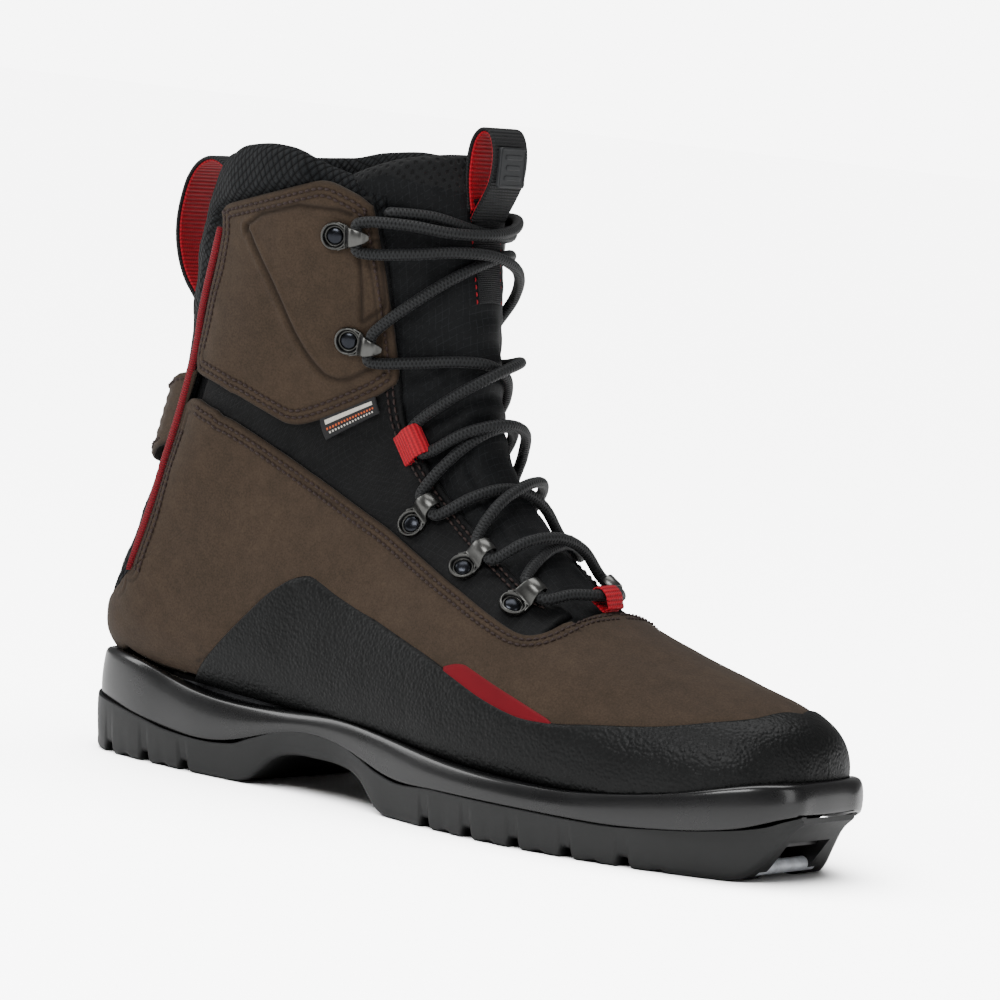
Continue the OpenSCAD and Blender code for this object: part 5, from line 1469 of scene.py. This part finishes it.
def build_lace():
    a, b = half_lace(1, 1.9), half_lace(-1, 6.3)
    P = smooth_path(a[::-1] + b, .75)
    for _ in range(3):
        P[1:-1] = .25 * P[:-2] + .5 * P[1:-1] + .25 * P[2:]
    L = np.linalg.norm(np.diff(P, axis=0), axis=1).sum()
    print("lace length mm", round(L, 1))
    ob = tube(P, 2.0, 14, name="v_lace", mat=MT["lace"])
    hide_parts("lace")
    bends(ob)
    for n, s in (("a", 1), ("b", -1)):
        tk = float(front(23.3)) + 3.6
        t = tube([S(u, s * tk, -5.2) for u in (22.84, 22.6, 22.35)], 1.7, 12, name="v_aglet_" + n, mat=MT["aglet"])
        if s == 1:
            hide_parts("lace_aglets")
        bends(t)


def build_label(shell_sk):
    U = linear(17.13, 18.28, 22)
    t = linear(0, 1, 40)
    lo = lambda u: 124.1 + (u - 17.29) * (120.9 - 124.1) / 1.03
    hi = lambda u: 137.2 + (u - 17.13) * (135.4 - 137.2) / .82
    # tilted quadrilateral
    c = {"a": (17.29, 124.1), "b": (17.13, 137.2), "c": (17.95, 135.4), "d": (18.32, 120.9)}
    UU = np.zeros((22, 40))
    TH = np.zeros((22, 40))
    for i, v in enumerate(linear(0, 1, 22)):
        for j, w in enumerate(t):
            bot = A(c["a"]) * (1 - w) + A(c["b"]) * w
            top = A(c["d"]) * (1 - w) + A(c["c"]) * w
            q = bot * (1 - v) + top * v
            UU[i, j], TH[i, j] = q

    ob, sk = sheet("v_side_label", UU, TH, None, .35, .7, [MT["label"], MT["label_w"], MT["label_o"]], edge=.25,
                   disp=lambda P, d, u, th: lumps(P, 14, 2) * .12)
    me = ob.data
    # plain woven stripes, by cell
    n, m = 22, 40
    idx = np.zeros(len(me.polygons), np.int32)
    k = 0
    for i in range(n - 1):
        for j in range(m - 1):
            v, w = (i + .5) / (n - 1), (j + .5) / (m - 1)
            if .08 < w < .92:
                if .62 < v < .80:
                    idx[k] = 1
                elif .36 < v < .46 and (j % 2):
                    idx[k] = 2
                elif .2 < v < .29 and (j % 2 == 0):
                    idx[k] = 1
            k += 1
    me.polygons.foreach_set("material_index", idx)
    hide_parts("side_label")
    bends(ob)


# ------------------------------------------------------------------ sole
H_OUT = cur([[-4,9],[-2,15],[2,22],[10,29],[20,32.5],[35,35],[60,37],[90,37],[120,38],[150,43],[178,48.5],[205,51],[230,48.5],[255,42.5],[275,34.5],[288,27.5],[296,22],[303,18.5],[307,17]])
H_IN = cur([[-4,9],[-2,15],[2,22],[10,29],[20,32.5],[35,35],[60,36],[90,35],[120,35],[150,40],[178,47],[205,51],[230,51.5],[255,47],[275,38],[288,29.5],[296,23],[303,18.5],[307,17]])
SEAM = cur([[-4,21],[14,19],[32,16],[47,13.5],[65,12.5],[77,13.5],[88,17.5],[102,22],[114,23],[127,22],[137,19],[148,15],[160,13],[178,14],[213,14],[243,13.5],[266,15],[276,16],[283,17],[290,18.2],[296,19.8],[302,22.5],[307,24.5]])
LIP = cur([[-8,36],[0,36],[8,37],[15,38.5],[23,38.5],[31,36],[44,32.5],[54,30.5],[67,28.5],[83,28],[105,29],[123,30],[136,29],[156,27],[177,24.5],[201,23],[228,22.5],[247,24],[269,27.5],[284,31.5],[296,34.5],[310,36]])


def root_th(u, o, f, lo=2.0, hi=118.0):
    lo, hi = float(lo), float(hi)
    for _ in range(26):
        t = (lo + hi) / 2
        p = S(u, t, o)
        if p[2] > f(p[0]):
            hi = t
        else:
            lo = t
    return (lo + hi) / 2


def root_u(th, o, f, lo=14.8, hi=17.4):
    for _ in range(26):
        t = (lo + hi) / 2
        p = S(t, th, o)
        if p[2] > f(p[0]):
            hi = t
        else:
            lo = t
    return (lo + hi) / 2


def build_frame():
    FO = 1.5
    keys = [("h", a) for a in linear(0, 38, 12)] + [("u", u) for u in np.concatenate([linear(15.25, 2.2, 74), linear(2.05, .5, 12)])]
    K = len(keys)

    def wall(k, s, f):
        kind, v = keys[k]
        if kind == "h":
            return S(root_u(v, FO, f), s * v, FO)
        return S(v, s * root_th(v, FO, f), FO)

    def ring(k, s):
        t = wall(k, s, LIP)
        kind, v = keys[k]
        # outer plan point: along the outward plan normal from the lip
        if kind == "h":
            d = unit(A([t[0] - 30, t[1]]))
            e = A([t[0], t[1]]) + d * np.interp(v, [0, 38], [3.2, 3.6])
        else:
            x = float(np.clip(t[0] + np.interp(t[0], [-8, 20, 60, 262, 290, 302], [-3, -1.5, 0, 0, 3.5, 6]), -4, 307))
            hh = float((H_OUT if s > 0 else H_IN)(x))
            e = A([x, -s * max(hh, abs(t[1]) + 2.4)])
            if v < 2.05:
                e = A([307 - .0 * v, -s * np.interp(v, [.5, 2.05], [9, 17.3])])
            if v > 14.0:
                w = np.clip((v - 14.0) / 1.2, 0, 1)
                e = e * (1 - w) + (A([t[0], t[1]]) + unit(A([t[0] - 30, t[1]])) * 3.6) * w
        g = unit(A([e[0] - t[0], e[1] - t[1]]))
        zb = float(SEAM(e[0]))
        H = t[2] - zb
        P = lambda q, z: [q[0], q[1], z]
        e2 = A(e)
        W = float(np.linalg.norm(e2 - A(t[:2])))
        c = np.clip(W / 4.5, .55, 1.2)
        return [P(e2 - g * 1.6, zb), P(e2 - g * .55, zb + .1), P(e2 - g * .1, zb + .7), P(e2 + g * .15, zb + H * .34), P(e2 - g * .15 * c, zb + H * .66),
                P(e2 - g * .7 * c, t[2] - 1.5), P(e2 - g * 1.35 * c, t[2] - .55), P(e2 - g * 2.3 * c, t[2] - .02), P(t[:2] + g * .7, t[2] + .1),
                P(t[:2] - g * .1, t[2] - .5), P(t[:2] + g * .3, t[2] - 4), P(t[:2] + g * .3, zb + .5)]
    R = [ring(k, 1) for k in range(K)]
    L = [ring(k, -1) for k in range(K)]
    toe = []
    a, b = A(R[-1]), A(L[-1])
    for t in linear(0, 1, 9)[1:-1]:
        q = a * (1 - t) + b * t
        q[:, 0] += math.sin(math.pi * t) * .25
        toe.append(q.tolist())
    R = A(R + toe + L[:0:-1])
    # even out along the band
    for _ in range(5):
        R = .25 * np.roll(R, 1, 0) + .5 * R + .25 * np.roll(R, -1, 0)
    n, m, _ = R.shape
    V = R.reshape(-1, 3)
    F = []
    for i in range(n):
        for j in range(m):
            F.append((i * m + j, ((i + 1) % n) * m + j, ((i + 1) % n) * m + (j + 1) % m, i * m + (j + 1) % m))
    ob = new_obj("v_sole_frame", V, F, MT["frame"])
    bm_fix(ob)
    md = ob.modifiers.new("s", "SUBSURF")
    md.levels = md.render_levels = 1
    apply_mods(ob)
    ob.data.polygons.foreach_set("use_smooth", np.full(len(ob.data.polygons), True))
    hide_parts("sole_frame")
    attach(ob, "foot")


def sstep(x, a, b):
    t = np.clip((x - a) / (b - a), 0, 1)
    return t * t * (3 - 2 * t)


TRAY = cur([[-4,16],[30,15],[60,12],[80,12],[95,14.5],[115,15],[130,14],[145,11],[170,9],[250,8.5],[270,9.5],[278,15.6],[290,16],[296,17.6],[300,20.5],[304,25],[307,26]])
BOT = cur([[-4,4.2],[-2.5,2],[0,.8],[3,.1],[6,0],[76,0],[81,.5],[85,2],[90,6],[96,10.8],[102,13],[110,13.8],[120,13.8],[130,12.8],[137,10.2],[143,5.2],[147.5,1.6],[152,.2],[156,0],[284,0],[288,.5],[292,3.2],[296,8.4],[300,14.2],[303.5,18.8],[307,22]])
GROOVES = [14, 34, 54, 172, 192, 212, 232, 252]


def groove(x, depth=3.4, e=1.5):
    g = np.zeros_like(x)
    for a in GROOVES:
        g = np.maximum(g, sstep(x, a - e, a + .2) * (1 - sstep(x, a + 2.8, a + 3 + e)))
    # shallow notches between them
    for a in (24, 44, 182, 202, 222, 242, 264):
        g = np.maximum(g, .22 * sstep(x, a - 2.2, a + .4) * (1 - sstep(x, a + 1.6, a + 4.2)))
    return g * depth


def build_outsole():
    X = np.unique(np.round(np.concatenate([linear(-4, 3, 15), linear(3, 279, 330), [278.95, 279.0], linear(279.05, 307, 57)] +
                                          [linear(a - 1.4, a + 4.4, 15) for a in GROOVES]), 3))
    R = []
    G = groove(X)
    for x, g in zip(X, G):
        zt = float(SEAM(x)) - .05
        zb = float(BOT(x))
        yl, ym = -float(H_OUT(x)) + .25, float(H_IN(x)) - .25
        gs = min(g, max(0, zt - zb - 3))
        H = zt - zb - gs
        rr = min(2.6, H * .42)
        zin = min(zt - .6, float(TRAY(x)))
        row = []

        def side(y0, sg):
            # sg -1 lateral (y0 negative) from the top down; the wall leans in towards the ground
            out = [(y0 - sg * 3.0, zt), (y0 - sg * .4, zt)]
            for k in range(9):
                t = k / 8
                z = zt - .35 - (H - rr - .35) * t
                rib = .28 * math.sin(z * 2 * math.pi / 2.3) * float(sstep(x, 12, 4)) if False else .26 * math.sin(z * 2.73) * (1 - float(sstep(x, 4, 12)))
                lean = 1.7 * (t ** 1.3)
                out.append((y0 - sg * (lean + (rib if 0 < k < 8 else 0)), z))
            y1, z1 = out[-1]
            for a in (18, 36, 54, 72, 90):
                an = math.radians(a)
                out.append((y1 - sg * rr * (1 - math.cos(an)), z1 - rr * math.sin(an)))
            return out
        L, Rr = side(yl, -1), side(ym, 1)
        # bottom, lateral to medial, side lugs stepping to the flat middle, then the slot
        zs = max(zb, 14.3) if x >= 279 else zb
        wl, wm = L[-1][0], Rr[-1][0]
        il, im = min(-12.02, max(wl + .4, -22)), max(12.02, min(wm - .4, 22))
        bot = [(il - .7 if il - .7 > wl else wl + .05, zb + gs), (il, zb), ((il - 12) / 2, zb), (-12, zb), (-12, zs), (-6, zs), (6, zs), (12, zs), (12, zb), ((im + 12) / 2, zb), (im, zb), (im + .7 if im + .7 < wm else wm - .05, zb + gs)]
        tl, tm = yl + 3.2, ym - 3.2
        loop = L + bot + Rr[::-1] + [(tm, zin), (tl, zin)]
        R.append([(x, y, z) for y, z in loop])
    R = A(R)
    n, m, _ = R.shape
    V = R.reshape(-1, 3)
    i, j = np.meshgrid(np.arange(n - 1), np.arange(m), indexing="ij")
    F = [tuple(f) for f in np.stack([i * m + j, i * m + (j + 1) % m, (i + 1) * m + (j + 1) % m, (i + 1) * m + j], -1).reshape(-1, 4)]
    F += [tuple(range(m - 1, -1, -1)), tuple((n - 1) * m + q for q in range(m))]
    ob = new_obj("v_outsole", V, F, MT["outsole"])
    clean(ob, 1e-6)
    ob.data.set_sharp_from_angle(angle=math.radians(38))
    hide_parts("outsole")
    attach(ob, "foot")


def paint(node, mat, bevel=None):
    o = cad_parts[node]
    o.data.materials.clear()
    o.data.materials.append(mat)
    if bevel:
        md = o.modifiers.new("bevel", "BEVEL")
        md.width, md.segments, md.limit_method, md.angle_limit = bevel, 3, "ANGLE", math.radians(35)
        md.harden_normals = False


# ------------------------------------------------------------------ build all
lower = build_lower()
build_rand()
build_accent()
shells = build_shell()
build_cuff()
build_back()
build_piping()
build_band()
build_lining()
build_tongue()
build_tabs()
build_metal()
build_loops()
build_lace()
build_label(shells)
build_frame()
build_outsole()
bends(lower)
for kind, name, mat, slot in (("brown", "v_threads_brown", MT["thread"], "nubuck"), ("red", "v_threads_red", MT["thread_red"], "web_red"), ("black", "v_threads_black", MT["thread_black"], "web_black")):
    ob = make_stitches(kind, name, mat)
    if ob:
        bends(ob)
for node, mat in (("toe_insert", "insert"), ("toe_bar", "zinc"), ("midsole_core", "midsole"), ("shank", "steel"),
                  ("insole_board", "board"), ("heel_counter", "stiff"), ("toe_puff", "stiff"), ("footbed", "footbed")):
    paint(node, MT[mat])
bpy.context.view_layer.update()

# ------------------------------------------------------------------ floor, light, camera
FLOOR_POWER, WORLD_LIGHT, WORLD_SEEN = 27.0, .2, 7.4
me = bpy.data.meshes.new("floor")
me.from_pydata([(-9, -9, 0), (9, -9, 0), (9, 9, 0), (-9, 9, 0)], [], [(0, 1, 2, 3)])
fl = bpy.data.objects.new("floor", me)
bpy.context.scene.collection.objects.link(fl)
fm = Mat("floor_pale", (.86, .86, .86, 1), .7, spec=.1)
fm.base(fm.ramp(fm.noise(3, 2), [(.3, (.85, .85, .85)), (.7, (.88, .88, .88))]))
# a white sweep: the camera sees it bright, and it throws little light back at the boot
lp = fm.n("ShaderNodeLightPath").outputs["Is Camera Ray"]
fm.base(fm.mix(lp, (.16, .16, .16), (.86, .86, .86)))
me.materials.append(fm.m)
w = bpy.context.scene.world or bpy.data.worlds.new("w")
bpy.context.scene.world = w
w.use_nodes = True
nt = w.node_tree
bg = nt.nodes["Background"]
bg.inputs[0].default_value = (1, 1, 1, 1)
wl = nt.nodes.new("ShaderNodeLightPath")
wm = nt.nodes.new("ShaderNodeMapRange")
wm.inputs[3].default_value, wm.inputs[4].default_value = WORLD_LIGHT, WORLD_SEEN
nt.links.new(wl.outputs["Is Camera Ray"], wm.inputs[0])
nt.links.new(wm.outputs[0], bg.inputs[1])


def area(name, loc, target, size, power, color=(1, 1, 1)):
    l = bpy.data.lights.new(name, "AREA")
    l.shape, l.size, l.size_y, l.energy, l.color = "RECTANGLE", size[0], size[1], power, color
    o = bpy.data.objects.new(name, l)
    o.location = loc
    o.rotation_euler = (Vector(target) - Vector(loc)).to_track_quat("-Z", "Y").to_euler()
    bpy.context.scene.collection.objects.link(o)
    return o


sweep = bpy.data.collections.new("sweep")
bpy.context.scene.collection.children.link(sweep)
sweep.objects.link(fl)
sun = bpy.data.lights.new("sweep_sun", "SUN")
sun.energy, sun.angle = FLOOR_POWER, math.radians(75)
so = bpy.data.objects.new("sweep_sun", sun)
so.location, so.rotation_euler = (0, 0, 3), (math.radians(8), math.radians(-6), 0)
bpy.context.scene.collection.objects.link(so)
so.light_linking.receiver_collection = sweep
area("key", (.35, -1.25, 1.15), (0, 0, .1), (.9, .5), 15)
area("top", (-.1, .1, 1.5), (0, 0, .1), (1.3, .8), 13)
area("fill", (1.6, -.1, .6), (0, 0, .12), (.4, 1.1), 3.5)
area("rim", (-1.1, -.55, .75), (0, 0, .12), (.4, 1.0), 7)

AZ, EL, ROLL = math.radians(37), math.radians(5.1), math.radians(5.6)
back = A([math.sin(AZ) * math.cos(EL), -math.cos(AZ) * math.cos(EL), math.sin(EL)])
right = A([math.cos(AZ), math.sin(AZ), 0])
up = np.cross(back, right)
r2 = math.cos(ROLL) * right + math.sin(ROLL) * up
u2 = -math.sin(ROLL) * right + math.cos(ROLL) * up
tgt = M([158, 0, 110])
loc = tgt + back * 1.905
cam = bpy.data.cameras.new("cam")
cam.lens, cam.sensor_width, cam.clip_start = 198.0, 36.0, .05
co = bpy.data.objects.new("cam", cam)
co.matrix_world = Matrix(((r2[0], u2[0], back[0], loc[0]), (r2[1], u2[1], back[1], loc[1]), (r2[2], u2[2], back[2], loc[2]), (0, 0, 0, 1)))
bpy.context.scene.collection.objects.link(co)
bpy.context.scene.camera = co
